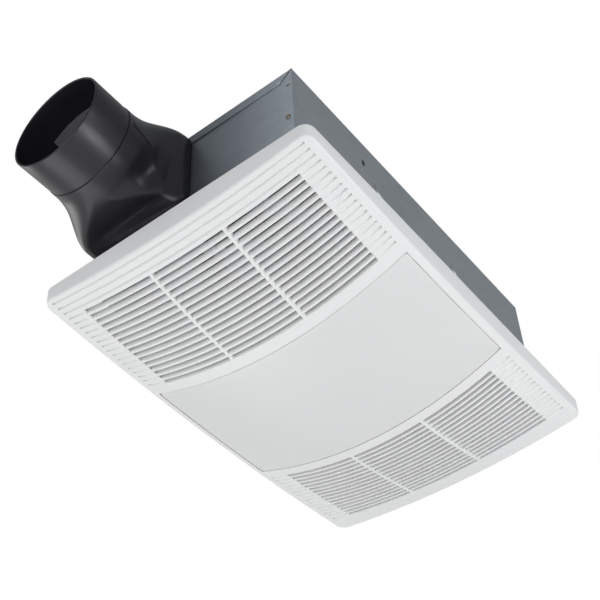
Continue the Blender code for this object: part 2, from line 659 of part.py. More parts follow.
def make_light(board_look, chip_look, driver_look, screw_look):
    """The board with its light chips under the tray, the driver on it and the tray's screws."""
    top = TRAY_TOP_Z - TRAY_SHEET - GAP
    bm = bmesh.new()
    add_box(bm, (-BOARD_LENGTH / 2, -BOARD_WIDTH / 2, top - BOARD_THICKNESS),
            (BOARD_LENGTH / 2, BOARD_WIDTH / 2, top))
    make_object("led_board", bm, board_look)
    strip_top = top - BOARD_THICKNESS - GAP
    strip_low = strip_top - CHIP_HEIGHT
    for i in range(CHIP_COLUMNS):
        x = BOARD_LENGTH * ((i + 0.5) / CHIP_COLUMNS - 0.5)
        half_run = BOARD_WIDTH / 2 - CHIP_SIZE
        bm = bmesh.new()
        add_box(bm, (x - CHIP_SIZE, -half_run, strip_low), (x + CHIP_SIZE, half_run, strip_top))
        strip = make_object("led_strip_" + str(i + 1), bm, chip_look)
        chips = bmesh.new()
        for j in range(CHIP_ROWS):
            y = 2 * half_run * ((j + 0.5) / CHIP_ROWS - 0.5)
            add_box(chips, (x - CHIP_SIZE / 2, y - CHIP_SIZE / 2, strip_low - CHIP_HEIGHT),
                    (x + CHIP_SIZE / 2, y + CHIP_SIZE / 2, strip_low + CHIP_HEIGHT / 2))
        combine(strip, chips, "UNION")
    bm = bmesh.new()
    length, width, height = DRIVER_SIZE
    foot = TRAY_TOP_Z + GAP
    add_box(bm, (DRIVER_X - length / 2, -width / 2, foot),
            (DRIVER_X + length / 2, width / 2, foot + height))
    edges = [edge for edge in bm.edges if abs(edge.verts[0].co.z - edge.verts[1].co.z) > height / 2]
    bmesh.ops.bevel(bm, geom=edges, offset=4 * MM, segments=2, affect="EDGES", profile=0.5)
    make_object("led_driver", bm, driver_look, radians(40))
    places = [Matrix.Translation((sx * (TRAY_HALF_LENGTH + TRAY_EAR / 2), sy * BOSS_Y, foot))
              for sx in (-1, 1) for sy in (-1, 1)]
    make_fasteners("tray_screw", screw_look, SCREW_RADIUS, SCREW_HEIGHT, places)


def make_springs(spring_look, bracket_look):
    """Two torsion springs on the tray, each an unbroken wire: arm, coil and arm."""
    for name, side in (("front", -1), ("back", 1)):
        centre = Vector((0, side * SPRING_Y, SPRING_Z))
        start = pi + SPRING_SPREAD
        sweep = 2 * pi * SPRING_TURNS + pi - 2 * SPRING_SPREAD
        steps = ceil(10 * sweep / (2 * pi))
        width = SPRING_COIL_PITCH * sweep / (2 * pi)
        points = []
        for step in range(steps + 1):
            share = step / steps
            angle = start + sweep * share
            points.append(centre + Vector((SPRING_COIL_RADIUS * cos(angle), width * (share - 0.5),
                                           SPRING_COIL_RADIUS * sin(angle))))
        first = Vector((sin(SPRING_SPREAD), 0, cos(SPRING_SPREAD)))
        last = Vector((-sin(SPRING_SPREAD), 0, cos(SPRING_SPREAD)))
        head = [points[0] + last * SPRING_ARM + Vector((-SPRING_HOOK, 0, -SPRING_HOOK * 0.3)),
                points[0] + last * SPRING_ARM, points[0] + last * SPRING_ARM / 2]
        tail = [points[-1] + first * SPRING_ARM / 2, points[-1] + first * SPRING_ARM,
                points[-1] + first * SPRING_ARM + Vector((SPRING_HOOK, 0, -SPRING_HOOK * 0.3))]
        route = head + points + tail
        least = min((a - b).length for i, a in enumerate(points) for b in points[i + 8:])
        print("spring", name, "least gap to itself in mm:", round((least - SPRING_WIRE) / MM, 2))
        wire = bpy.data.curves.new("torsion_spring_" + name, "CURVE")
        wire.dimensions = "3D"
        wire.bevel_depth = SPRING_WIRE / 2
        wire.bevel_resolution = 1
        wire.use_fill_caps = True
        spline = wire.splines.new("POLY")
        spline.points.add(len(route) - 1)
        for point, place in zip(spline.points, route):
            point.co = (*place, 1)
        wire.materials.append(spring_look)
        made = bpy.data.objects.new("torsion_spring_" + name, wire)
        bpy.context.scene.collection.objects.link(made)
    foot = TRAY_TOP_Z + GAP
    saddle = SPRING_COIL_RADIUS - SPRING_WIRE / 2 - GAP
    length = SPRING_COIL_PITCH * (SPRING_TURNS + 1)
    for name, side in (("front", -1), ("back", 1)):
        web = side * (SPRING_Y - length / 2 - 3 * MM)
        bm = bmesh.new()
        low, high = sorted((web, web - side * SADDLE_SHEET))
        add_box(bm, (-saddle, low, foot), (saddle, high, SPRING_Z + saddle))
        bracket = make_object("spring_saddle_" + name, bm, bracket_look, radians(30))
        base = bmesh.new()
        low, high = sorted((web - side * SADDLE_SHEET / 2, web - side * SADDLE_FOOT))
        add_box(base, (-saddle * 0.9, low, foot), (saddle * 0.9, high, foot + SADDLE_SHEET))
        combine(bracket, base, "UNION")
        pin = bmesh.new()
        place = along((0, side, 0), (0, 0, SPRING_Z))
        add_cylinder(pin, saddle * 0.95, abs(web) - SADDLE_SHEET / 2, SPRING_Y + length / 2, place, 12)
        combine(bracket, pin, "UNION")


def make_wrap(look):
    """The housing's top and long sides in one folded sheet, with mitred flanges over the end plates."""
    x, y, z = HOUSING_X, HOUSING_Y, HOUSING_HEIGHT
    bm = bmesh.new()
    add_box(bm, (-x, -y, 0), (x, y, z))
    folds = [edge for edge in bm.edges if max(vert.co.z for vert in edge.verts) > z / 2]
    bmesh.ops.bevel(bm, geom=folds, offset=FOLD_RADIUS, segments=2, affect="EDGES", profile=0.5)
    wrap = make_object("housing_wrap", bm, look, radians(25))
    cavity = bmesh.new()
    add_box(cavity, (SHEET - x, SHEET - y, -5 * MM), (x - SHEET, y - SHEET, z - SHEET))
    combine(wrap, cavity, "DIFFERENCE")
    sideways = Matrix(((0, 0, 1, 0), (1, 0, 0, 0), (0, 1, 0, 0), (0, 0, 0, 1)))
    window = bmesh.new()
    add_box(window, (-x - 5 * MM, FLANGE_WIDTH - y, -5 * MM),
            (x + 5 * MM, y - FLANGE_WIDTH, z - FLANGE_WIDTH))
    combine(wrap, window, "DIFFERENCE")
    for end in (-1, 1):
        low, high = sorted((end * (x - SHEET - 0.2 * MM), end * (x + 5 * MM)))
        for side in (-1, 1):
            half = MITRE_GAP / 2
            inner, outer = FLANGE_WIDTH + MITRE_GAP, SHEET * 0.7
            slit = [(side * (y - inner), z - inner + 2 * half), (side * (y - outer), z - outer + half),
                    (side * (y - outer + half), z - outer), (side * (y - inner + 2 * half), z - inner)]
            cut = bmesh.new()
            add_plate(cut, slit, [], low, high, sideways)
            combine(wrap, cut, "DIFFERENCE")
    upright = Matrix(((1, 0, 0, 0), (0, 0, 1, 0), (0, 1, 0, 0), (0, 0, 0, 1)))
    half = (MOUNT_SLOT_WIDTH / 2, MOUNT_SLOT_LENGTH / 2)
    slot = rounded_rectangle((MOUNT_SLOT_X - half[0], MOUNT_SLOT_X + half[0]),
                             (MOUNT_SLOT_Z - half[1], MOUNT_SLOT_Z + half[1]), half[0] * 0.98, 3)
    cut = bmesh.new()
    add_plate(cut, slot, [], -y - 5 * MM, y + 5 * MM, upright)
    combine(wrap, cut, "DIFFERENCE")
    for side in (-1, 1):
        for knockout in KNOCKOUT_X:
            disc = bmesh.new()
            add_cylinder(disc, KNOCKOUT_RADIUS, y - SHEET / 2, y + KNOCKOUT_RISE,
                         along((0, side, 0), (knockout, 0, KNOCKOUT_Z)), 20, KNOCKOUT_RADIUS * 0.85)
            combine(wrap, disc, "UNION")


def make_end_plates(look):
    """The two end plates; the one at -X has the outlet of the blower in it."""
    y, z = HOUSING_Y - SHEET - GAP, HOUSING_HEIGHT - SHEET - GAP
    outlet = rectangle(OUTLET_Y, OUTLET_Z)
    for name, end, holes in (("end_plate_duct", -1, [outlet]), ("end_plate_far", 1, [])):
        bm = bmesh.new()
        low = END_PLATE_X - SHEET if end > 0 else -END_PLATE_X
        place = Matrix(((0, 0, 1, 0), (1, 0, 0, 0), (0, 1, 0, 0), (0, 0, 0, 1)))
        add_plate(bm, rectangle((-y, y), (0, z)), holes, low, low + SHEET, place)
        make_object(name, bm, look)


def make_housing_hardware(zinc, steel):
    """Rivets on the flanges and the slotted plates that the springs hook into."""
    places = []
    for end in (-1, 1):
        for side in (-1, 1):
            y = side * (HOUSING_Y - FLANGE_WIDTH / 2)
            z = CONNECTOR_Z[0] / 2 if (end, side) == (-1, 1) else RIVET_Z
            places.append(along((end, 0, 0), (end * (HOUSING_X + GAP), y, z)))
    make_fasteners("flange_rivet", steel, RIVET_RADIUS, RIVET_HEIGHT, places)
    for name, side in (("front", -1), ("back", 1)):
        bm = bmesh.new()
        wall = HOUSING_Y - SHEET - GAP
        half = (SPRING_COIL_PITCH * SPRING_TURNS + SPRING_WIRE) / 2 + SLOT_CLEARANCE
        outline = rectangle((-SLOT_PLATE_HALF_LENGTH, SLOT_PLATE_HALF_LENGTH),
                            sorted((side * wall, side * (SPRING_Y - half - 4 * MM))))
        hole = rectangle((-SLOT_HALF_LENGTH, SLOT_HALF_LENGTH),
                         sorted((side * (SPRING_Y - half), side * (SPRING_Y + half))))
        add_plate(bm, outline, [hole], SLOT_PLATE_Z, SLOT_PLATE_Z + SHEET)
        plate = make_object("spring_slot_" + name, bm, zinc)
        web = bmesh.new()
        low, high = sorted((side * wall, side * (wall - SHEET)))
        add_box(web, (-SLOT_PLATE_HALF_LENGTH, low, SLOT_PLATE_Z + SHEET / 2),
                (SLOT_PLATE_HALF_LENGTH, high, SLOT_PLATE_Z + SLOT_PLATE_LIP))
        combine(plate, web, "UNION")


def make_connector(look, collar_look):
    """The black duct connector: a round neck that turns into a square box, and the collar on it."""
    def section(x, inset, steps=8):
        share = smooth_step((x - SHOULDER_X) / SHOULDER_LENGTH)
        radius = DUCT_RADIUS + NECK_STEP
        middle = [DUCT_Y, DUCT_Z]
        half = [radius, radius]
        for k, span in enumerate((CONNECTOR_Y, CONNECTOR_Z)):
            middle[k] += (sum(span) / 2 - middle[k]) * share
            half[k] += ((span[1] - span[0]) / 2 - half[k]) * share
        corner = radius + (CONNECTOR_CORNER - radius) * share
        span_y = (middle[0] - half[0] + inset, middle[0] + half[0] - inset)
        span_z = (middle[1] - half[1] + inset, middle[1] + half[1] - inset)
        corner = min(corner - inset, (span_y[1] - span_y[0]) / 2, (span_z[1] - span_z[0]) / 2) * 0.999
        return [(x, y, z) for y, z in rounded_rectangle(span_y, span_z, corner, steps)]

    stations = [SEAM_X + GAP, SHOULDER_X]
    stations += [SHOULDER_X + SHOULDER_LENGTH * share for share in (0.16, 0.32, 0.48, 0.64, 0.8, 1)]
    stations.append(CONNECTOR_X)
    bm = bmesh.new()
    outer = [section(x, 0) for x in stations]
    inner = [section(x, DUCT_WALL) for x in reversed(stations)]
    add_loft(bm, outer + inner, closed_path=True)
    connector = make_object("duct_connector", bm, look, radians(35))
    across = along((0, 1, 0), (FLAP_X, DUCT_Y, FLAP_PIVOT_Z))
    holes = bmesh.new()
    add_cylinder(holes, FLAP_PIN_RADIUS + GAP, -DUCT_RADIUS * 1.2, DUCT_RADIUS * 1.2, across, 12)
    combine(connector, holes, "DIFFERENCE")
    stop = bmesh.new()
    rings = []
    steps = 10
    for step in range(steps + 1):
        angle = pi * (1.12 + 0.76 * step / steps)
        ring = []
        for radius, x in ((BORE_RADIUS - FLAP_STOP_HEIGHT, 0), (BORE_RADIUS + DUCT_WALL / 2, 0),
                          (BORE_RADIUS + DUCT_WALL / 2, 2 * MM), (BORE_RADIUS - FLAP_STOP_HEIGHT, 2 * MM)):
            place = FLAP_X + FLAP_THICKNESS / 2 + GAP + x
            ring.append((place, DUCT_Y + radius * cos(angle), DUCT_Z + radius * sin(angle)))
        rings.append(ring)
    add_loft(stop, rings)
    combine(connector, stop, "UNION")
    bm = bmesh.new()
    place = along((-1, 0, 0), (SEAM_X, DUCT_Y, DUCT_Z))
    inner_radius = DUCT_RADIUS - COLLAR_WALL
    add_turned(bm, [(inner_radius, 0), (DUCT_RADIUS, 0), (DUCT_RADIUS, COLLAR_LENGTH - 0.6 * MM),
                    (DUCT_RADIUS - 0.6 * MM, COLLAR_LENGTH), (inner_radius, COLLAR_LENGTH)], place, 56)
    make_object("duct_collar", bm, collar_look, radians(35))


def make_flap(look):
    """The back-draught flap: a disc on a pin across the neck, pivoted above its middle."""
    bm = bmesh.new()
    radius = BORE_RADIUS - FLAP_EDGE_GAP
    place = along((1, 0, 0), (FLAP_X, DUCT_Y, DUCT_Z))
    add_cylinder(bm, radius, -FLAP_THICKNESS / 2, FLAP_THICKNESS / 2, place, 36)
    pivot = (FLAP_X, DUCT_Y, FLAP_PIVOT_Z)
    flap = make_object("damper_flap", bm, look, radians(35), origin=pivot)
    pin = bmesh.new()
    add_cylinder(pin, FLAP_PIN_RADIUS, -DUCT_RADIUS, DUCT_RADIUS, along((0, 1, 0), pivot), 12)
    return combine(flap, pin, "UNION")


def scroll_outline(inset, outlet_x):
    """Plan of the scroll: spiral wall from the tongue round to the straight outlet."""
    span = 2 * pi + pi / 2 - SCROLL_START_ANGLE
    steps = 22
    points = []
    for step in range(steps + 1):
        angle = SCROLL_START_ANGLE + span * step / steps
        radius = SCROLL_START_RADIUS + (SCROLL_END_RADIUS - SCROLL_START_RADIUS) * step / steps - inset
        points.append((BLOWER_X + radius * cos(angle), BLOWER_Y + radius * sin(angle)))
    tongue_y = points[0][1] + (2 * inset if inset else 0)
    return [(outlet_x, tongue_y), (points[0][0] - 4 * MM, tongue_y)] + points + [(outlet_x, points[-1][1])]


def make_scroll(look, screw_look):
    """The scroll housing round the wheel, open below and towards the duct, with its flange."""
    outlet_x = -END_PLATE_X + SHEET + GAP
    bm = bmesh.new()
    add_plate(bm, scroll_outline(0, outlet_x), [], *SCROLL_Z)
    scroll = make_object("blower_scroll", bm, look, radians(35))
    flange = bmesh.new()
    place = Matrix(((0, 0, 1, 0), (1, 0, 0, 0), (0, 1, 0, 0), (0, 0, 0, 1)))
    low_y = scroll_outline(0, outlet_x)[0][1]
    high_y = BLOWER_Y + SCROLL_END_RADIUS
    outer = rectangle((low_y - SCROLL_FLANGE, high_y + SCROLL_FLANGE),
                      (SCROLL_Z[0] + 0.1 * MM, SCROLL_Z[1] + SCROLL_FLANGE))
    add_plate(flange, outer, [], outlet_x, outlet_x + SCROLL_WALL, place)
    combine(scroll, flange, "UNION")
    cavity = bmesh.new()
    add_plate(cavity, scroll_outline(SCROLL_WALL, outlet_x - 5 * MM), [], SCROLL_Z[0] - 5 * MM,
              SCROLL_Z[1] - SCROLL_WALL)
    combine(scroll, cavity, "DIFFERENCE")
    start = outlet_x + SCROLL_WALL + GAP
    places = [along((1, 0, 0), (start, y, z))
              for y in (low_y - SCROLL_FLANGE / 2, high_y + SCROLL_FLANGE / 2)
              for z in (SCROLL_Z[0] + SCROLL_FLANGE, SCROLL_Z[1] - SCROLL_FLANGE)]
    make_fasteners("blower_screw", screw_look, SCREW_RADIUS * 0.9, SCREW_HEIGHT, places)


def make_blower_plate(look):
    """The plate under the scroll, with the rolled lip of the inlet."""
    bm = bmesh.new()
    hole_radius = INLET_RADIUS + INLET_LIP
    add_plate(bm, scroll_outline(0, -END_PLATE_X + SHEET + GAP),
              [circle(BLOWER_X, BLOWER_Y, hole_radius + 0.8 * MM, 40)], PLATE_Z, PLATE_Z + SPIDER_SHEET)
    plate = make_object("blower_plate", bm, look, radians(35))
    sheet = SPIDER_SHEET * 0.7
    base = PLATE_Z + SPIDER_SHEET * 0.15
    turns = [radians(angle) for angle in (0, 30, 60, 90)]
    outer = [(hole_radius - INLET_LIP * sin(a), base + INLET_LIP * (1 - cos(a))) for a in turns]
    inner = [(hole_radius - (INLET_LIP - sheet) * sin(a), base + INLET_LIP - (INLET_LIP - sheet) * cos(a))
             for a in reversed(turns)]
    lip = bmesh.new()
    rest = hole_radius + 2.5 * MM
    add_turned(lip, [(rest, base)] + outer + inner + [(rest, base + sheet)],
               Matrix.Translation((BLOWER_X, BLOWER_Y, 0)), 40)
    return combine(plate, lip, "UNION")


def add_spider(bm, centre, hub, reach, width, low, hole):
    """A flat motor bracket: a round middle with arms, as one outline with a hole for the shaft."""
    points = []
    for arm in range(SPIDER_ARMS):
        angle = 2 * pi * arm / SPIDER_ARMS + pi / 6
        side = Vector((-sin(angle), cos(angle))) * width / 2
        out = Vector((cos(angle), sin(angle)))
        spread = asin(width / 2 / hub)
        root = sqrt(hub ** 2 - (width / 2) ** 2)
        points += [out * root - side, out * reach - side, out * reach + side, out * root + side]
        last = angle + spread
        step = (2 * pi / SPIDER_ARMS - 2 * spread) / 5
        points += [Vector((cos(last + step * k), sin(last + step * k))) * hub for k in range(1, 5)]
    outline = [(centre[0] + point.x, centre[1] + point.y) for point in points]
    add_plate(bm, outline, [circle(*centre, hole, 16)], low, low + SPIDER_SHEET)


def add_motor(bm, radius, height, place):
    """A small motor: a can with rounded ends, end bosses and a bore for its shaft."""
    bore = SHAFT_RADIUS + GAP
    round_off = 4 * MM
    boss = radius * 0.42
    can_top = height - 3 * MM
    add_turned(bm, [(bore, 0), (radius - round_off, 0), (radius, round_off), (radius, can_top - round_off),
                    (radius - round_off, can_top), (boss, can_top), (boss * 0.8, height),
                    (bore, height)], place, 28)


def make_exhaust_motor(motor_look, bracket_look, screw_look):
    """The exhaust motor on its three-armed bracket under the inlet, with the bracket's screws."""
    centre = (BLOWER_X, BLOWER_Y)
    reach = INLET_RADIUS + INLET_LIP + 8 * MM
    bm = bmesh.new()
    add_spider(bm, centre, MOTOR_RADIUS * 0.8, reach, SPIDER_ARM_WIDTH, SPIDER_Z, SHAFT_RADIUS + GAP)
    make_object("exhaust_motor_bracket", bm, bracket_look)
    bm = bmesh.new()
    add_motor(bm, MOTOR_RADIUS, MOTOR_HEIGHT, Matrix.Translation((*centre, MOTOR_Z)))
    make_object("exhaust_motor", bm, motor_look, radians(35))
    places = []
    for arm in range(SPIDER_ARMS):
        angle = 2 * pi * arm / SPIDER_ARMS + pi / 6
        spot = (centre[0] + (reach - 4 * MM) * cos(angle), centre[1] + (reach - 4 * MM) * sin(angle),
                SPIDER_Z - GAP)
        places.append(along((0, 0, -1), spot))
    make_fasteners("bracket_screw", screw_look, SCREW_RADIUS, SCREW_HEIGHT, places)


def make_exhaust_wheel(look, shaft_look):
    """The squirrel-cage wheel with forward-curved blades, and its shaft."""
    low, high = WHEEL_Z
    centre = (BLOWER_X, BLOWER_Y, 0)
    place = Matrix.Translation(centre)
    hub_low = MOTOR_Z + MOTOR_HEIGHT + 4 * MM
    bore = SHAFT_RADIUS + GAP
    bm = bmesh.new()
    back = high - WHEEL_BACK
    add_turned(bm, [(bore, hub_low), (HUB_RADIUS, hub_low), (HUB_RADIUS, back), (WHEEL_RADIUS, back),
                    (WHEEL_RADIUS, high), (bore, high)], place, 36)
    ring_inner, ring_outer = WHEEL_RADIUS - 3.2 * MM, WHEEL_RADIUS + 0.4 * MM
    ring_top = low + WHEEL_RING_HEIGHT
    add_turned(bm, [(ring_inner, low), (ring_outer, low), (ring_outer, ring_top), (ring_inner, ring_top)],
               place, 36)
    wheel = make_object("exhaust_wheel", bm, look, radians(35))
    blades = bmesh.new()
    root, tip = WHEEL_RADIUS - BLADE_CHORD, WHEEL_RADIUS - 0.7 * MM
    for blade in range(BLADE_COUNT):
        turn = 2 * pi * blade / BLADE_COUNT
        middle = []
        for step in range(4):
            share = step / 3
            angle = turn + radians(7) * share ** 2
            radius = root + (tip - root) * share
            middle.append(Vector((radius * cos(angle), radius * sin(angle), 0)))
        sides = []
        for k, point in enumerate(middle):
            heading = (middle[min(k + 1, 3)] - middle[max(k - 1, 0)]).normalized()
            offset = Vector((-heading.y, heading.x, 0)) * BLADE_THICKNESS / 2
            sides.append((point + offset, point - offset))
        outline = [(side[0].x + centre[0], side[0].y + centre[1]) for side in sides]
        outline += [(side[1].x + centre[0], side[1].y + centre[1]) for side in reversed(sides)]
        add_plate(blades, outline, [], low + WHEEL_RING_HEIGHT * 0.3, high - WHEEL_BACK / 2)
    combine(wheel, blades, "UNION")
    bm = bmesh.new()
    add_cylinder(bm, SHAFT_RADIUS, MOTOR_Z + MOTOR_HEIGHT * 0.4, SHAFT_TOP_Z, place, 16)
    make_object("exhaust_shaft", bm, shaft_look, radians(35))


def make_heater_duct(look):
    """The heater's sheet duct: open below, with the fan's ring on top."""
    half_x, half_y = HEATER_LENGTH / 2, HEATER_WIDTH / 2
    low, high = HEATER_Z
    centre = Matrix.Translation((HEATER_X, HEATER_Y, 0))
    bm = bmesh.new()
    add_plate(bm, rounded_rectangle((-half_x, half_x), (-half_y, half_y), 6 * MM, 3), [], low, high, centre)
    duct = make_object("heater_duct", bm, look, radians(35))
    bore = FAN_RADIUS + FAN_TIP_GAP
    ring = bmesh.new()
    add_cylinder(ring, bore + HEATER_SHEET, high - HEATER_SHEET / 2, high + FAN_RING_HEIGHT, centre, 40)
    combine(duct, ring, "UNION")
    cavity = bmesh.new()
    inner = (half_x - HEATER_SHEET, half_y - HEATER_SHEET)
    add_plate(cavity, rounded_rectangle((-inner[0], inner[0]), (-inner[1], inner[1]), 4.8 * MM, 3), [],
              low - 5 * MM, high - HEATER_SHEET, centre)
    combine(duct, cavity, "DIFFERENCE")
    hole = bmesh.new()
    add_cylinder(hole, bore, high - 5 * MM, high + FAN_RING_HEIGHT + 5 * MM, centre, 40)
    combine(duct, hole, "DIFFERENCE")


def make_element(bar_look, fin_look, holder_look):
    """The heating element: bars with folded fins between them, held by a block at each end."""
    inner = HEATER_WIDTH / 2 - HEATER_SHEET - GAP
    half_run = inner - HOLDER_WIDTH - GAP
    low = HEATER_Z[0] + ELEMENT_RISE
    high = low + ELEMENT_HEIGHT
    rows = BAR_COUNT - 1
    pitch = BAR_WIDTH + FIN_WIDTH + 2 * GAP
    first = HEATER_X - pitch * rows / 2
    for bar in range(BAR_COUNT):
        x = first + pitch * bar
        bm = bmesh.new()
        add_box(bm, (x - BAR_WIDTH / 2, HEATER_Y - half_run, low),
                (x + BAR_WIDTH / 2, HEATER_Y + half_run, high))
        make_object("element_bar_" + str(bar + 1), bm, bar_look)
    fold = 2 * half_run / FIN_FOLDS
    side = FIN_SHEET / 2 * hypot(FIN_WIDTH, fold) / fold
    half_width = FIN_WIDTH / 2 - side
    for row in range(rows):
        x = first + pitch * (row + 0.5)
        spots = [(x + half_width * (-1) ** k, HEATER_Y + fold * (k - FIN_FOLDS / 2))
                 for k in range(FIN_FOLDS + 1)]
        outline = [(u + side, v) for u, v in spots] + [(u - side, v) for u, v in reversed(spots)]
        bm = bmesh.new()
        add_plate(bm, outline, [], low, high)
        make_object("element_fin_" + str(row + 1), bm, fin_look)
    half_length = pitch * rows / 2 + BAR_WIDTH
    for name, side in (("front", -1), ("back", 1)):
        span = sorted((HEATER_Y + side * inner, HEATER_Y + side * (inner - HOLDER_WIDTH)))
        outline = rounded_rectangle((HEATER_X - half_length, HEATER_X + half_length), span, 2 * MM, 2)
        bm = bmesh.new()
        add_plate(bm, outline, [], low - 1 * MM, high + 1 * MM)
        make_object("element_holder_" + name, bm, holder_look, radians(35))


def make_heater_fan(fan_look, shaft_look):
    """The heater's fan: a hub with twisted blades, and its shaft."""
    place = Matrix.Translation((HEATER_X, HEATER_Y, 0))
    height = FAN_RING_HEIGHT * 0.75
    low, high = FAN_Z - height / 2, FAN_Z + height / 2
    bore = SHAFT_RADIUS + GAP
    bm = bmesh.new()
    add_turned(bm, [(bore, low), (FAN_HUB_RADIUS - 3 * MM, low), (FAN_HUB_RADIUS, low + 3 * MM),
                    (FAN_HUB_RADIUS, high), (bore, high)], place, 24)
    fan = make_object("heater_fan", bm, fan_look, radians(35))
    blades = bmesh.new()
    thickness = 1.6 * MM
    for blade in range(FAN_BLADES):
        turn = 2 * pi * blade / FAN_BLADES
        rings = []
        for step in range(4):
            share = step / 3
            radius = FAN_HUB_RADIUS * 0.7 + (FAN_RADIUS - FAN_HUB_RADIUS * 0.7) * share
            pitch = FAN_BLADE_PITCH * (1.25 - 0.5 * share)
            half = (8 + 9 * share) * MM
            middle = turn + radians(10) * share
            ring = []
            for u, v in ((-1, -1), (0, -1), (1, -1), (1, 1), (0, 1), (-1, 1)):
                arc = u * half * cos(pitch)
                bow = 1.5 * MM * (1 - u * u)
                angle = middle + arc / radius
                z = FAN_Z + u * half * sin(pitch) * 0.62 + v * thickness / 2 + bow
                ring.append(place @ Vector((radius * cos(angle), radius * sin(angle), z)))
            rings.append(ring)
        add_loft(blades, rings)
    combine(fan, blades, "UNION")
    bm = bmesh.new()
    add_cylinder(bm, SHAFT_RADIUS, low - 1 * MM, HEATER_MOTOR_Z + HEATER_MOTOR_HEIGHT * 0.6, place, 16)
    make_object("heater_shaft", bm, shaft_look, radians(35))


def make_heater_motor(motor_look, bracket_look, cutout_look):
    """The heater's motor on its bracket over the fan's ring, and the thermal cut-out beside it."""
    centre = (HEATER_X, HEATER_Y)
    reach = FAN_RADIUS + FAN_TIP_GAP + HEATER_SHEET + 3 * MM
    bm = bmesh.new()
    add_spider(bm, centre, HEATER_MOTOR_RADIUS * 0.8, reach, SPIDER_ARM_WIDTH, HEATER_SPIDER_Z,
               SHAFT_RADIUS + GAP)
    make_object("heater_motor_bracket", bm, bracket_look)
    bm = bmesh.new()
    add_motor(bm, HEATER_MOTOR_RADIUS, HEATER_MOTOR_HEIGHT, Matrix.Translation((*centre, HEATER_MOTOR_Z)))
    make_object("heater_motor", bm, motor_look, radians(35))
    place = Matrix.Translation((HEATER_X + HEATER_LENGTH * 0.38, HEATER_Y + HEATER_WIDTH * 0.36,
                                HEATER_Z[1] + GAP))
    bm = bmesh.new()
    add_cylinder(bm, 8 * MM, 0, 5 * MM, place, 20)
    cutout = make_object("thermal_cutout", bm, cutout_look, radians(35))
    for side in (-1, 1):
        blade = bmesh.new()
        spot = place @ Vector((side * 4 * MM, 0, 0))
        add_box(blade, (spot.x - 0.4 * MM, spot.y - 3 * MM, spot.z + 3 * MM),
                (spot.x + 0.4 * MM, spot.y + 3 * MM, spot.z + 12 * MM))
        combine(cutout, blade, "UNION")


def make_partition(look):
    """The sheet between the exhaust side and the heater side."""
    half = HOUSING_Y - 2 * SHEET - 2 * GAP
    bm = bmesh.new()
    add_box(bm, (PARTITION_X - SHEET, -half, SLOT_PLATE_Z + 2 * SHEET),
            (PARTITION_X, half, HOUSING_HEIGHT - SHEET - GAP))
    make_object("partition", bm, look)


def make_wiring(cover_look, socket_look):
    """The sheet cover of the wiring compartment, with the sockets of the motors and the light."""
    wall = -HOUSING_Y + SHEET + GAP
    face = wall + WIRING_DEPTH
    top = HOUSING_HEIGHT - SHEET - GAP
    bm = bmesh.new()
    add_box(bm, (WIRING_X[0], wall, WIRING_Z), (WIRING_X[1], face, top))
    cover = make_object("wiring_cover", bm, cover_look)
    cavity = bmesh.new()
    add_box(cavity, (WIRING_X[0] + SHEET, wall - 5 * MM, WIRING_Z + SHEET),
            (WIRING_X[1] - SHEET, face - SHEET, top + 5 * MM))
    combine(cover, cavity, "DIFFERENCE")
    length, depth, height = SOCKET_SIZE
    middle, z = (WIRING_X[0] + WIRING_X[1]) / 2, (WIRING_Z + top) / 2
    outline = rounded_rectangle((middle - length / 2, middle + length / 2),
                                (z - height / 2, z + height / 2), 2 * MM, 2)
    holes = []
    for k in range(SOCKET_COUNT * 2):
        x = middle + length * ((k + 0.5) / (SOCKET_COUNT * 2) - 0.5)
        holes.append(rectangle((x - 1.6 * MM, x + 1.6 * MM), (z - 2 * MM, z + 2 * MM)))
    bm = bmesh.new()
    place = Matrix(((1, 0, 0, 0), (0, 0, 1, 0), (0, 1, 0, 0), (0, 0, 0, 1)))
    add_plate(bm, outline, holes, face + GAP, face + GAP + depth, place)
    make_object("wiring_socket", bm, socket_look, radians(35))


def main():
    """Clear the scene and build every sub-part."""
    for old in list(bpy.data.objects):
        bpy.data.objects.remove(old)
    white = material("white_plastic", (0.83, 0.83, 0.82), 0.42)
    opal = material("opal_lens", (0.80, 0.80, 0.79), 0.35)
    tray_white = material("white_steel", (0.85, 0.85, 0.84), 0.45)
    zinc = material("galvanised_steel", (0.32, 0.35, 0.38), 0.42, 0.85)
    black = material("black_plastic", (0.022, 0.022, 0.026), 0.38)
    grey = material("grey_plastic", (0.12, 0.12, 0.13), 0.5)
    steel = material("bright_steel", (0.6, 0.6, 0.62), 0.28, 1.0)
    spring = material("spring_steel", (0.45, 0.45, 0.47), 0.3, 1.0)
    aluminium = material("aluminium", (0.75, 0.75, 0.76), 0.35, 1.0)
    motor = material("motor_paint", (0.05, 0.05, 0.055), 0.45, 0.3)
    yellow = material("chip_phosphor", (0.85, 0.70, 0.20), 0.4)
    mica = material("brown_holder", (0.22, 0.16, 0.11), 0.6)
    make_cover(white)
    make_lens(opal)
    make_tray(tray_white)
    make_light(aluminium, yellow, white, steel)
    make_springs(spring, steel)
    make_wrap(zinc)
    make_end_plates(zinc)
    make_housing_hardware(zinc, steel)
    make_connector(black, black)
    make_flap(grey)
    make_scroll(zinc, steel)
    make_blower_plate(zinc)
    make_exhaust_motor(motor, zinc, steel)
    make_exhaust_wheel(grey, steel)
    make_heater_duct(zinc)
    make_element(aluminium, aluminium, mica)
    make_heater_fan(grey, steel)
    make_heater_motor(motor, zinc, grey)
    make_partition(zinc)
    make_wiring(zinc, white)


main()
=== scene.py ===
import json
import math

import bmesh
import bpy
from mathutils import Matrix, Vector

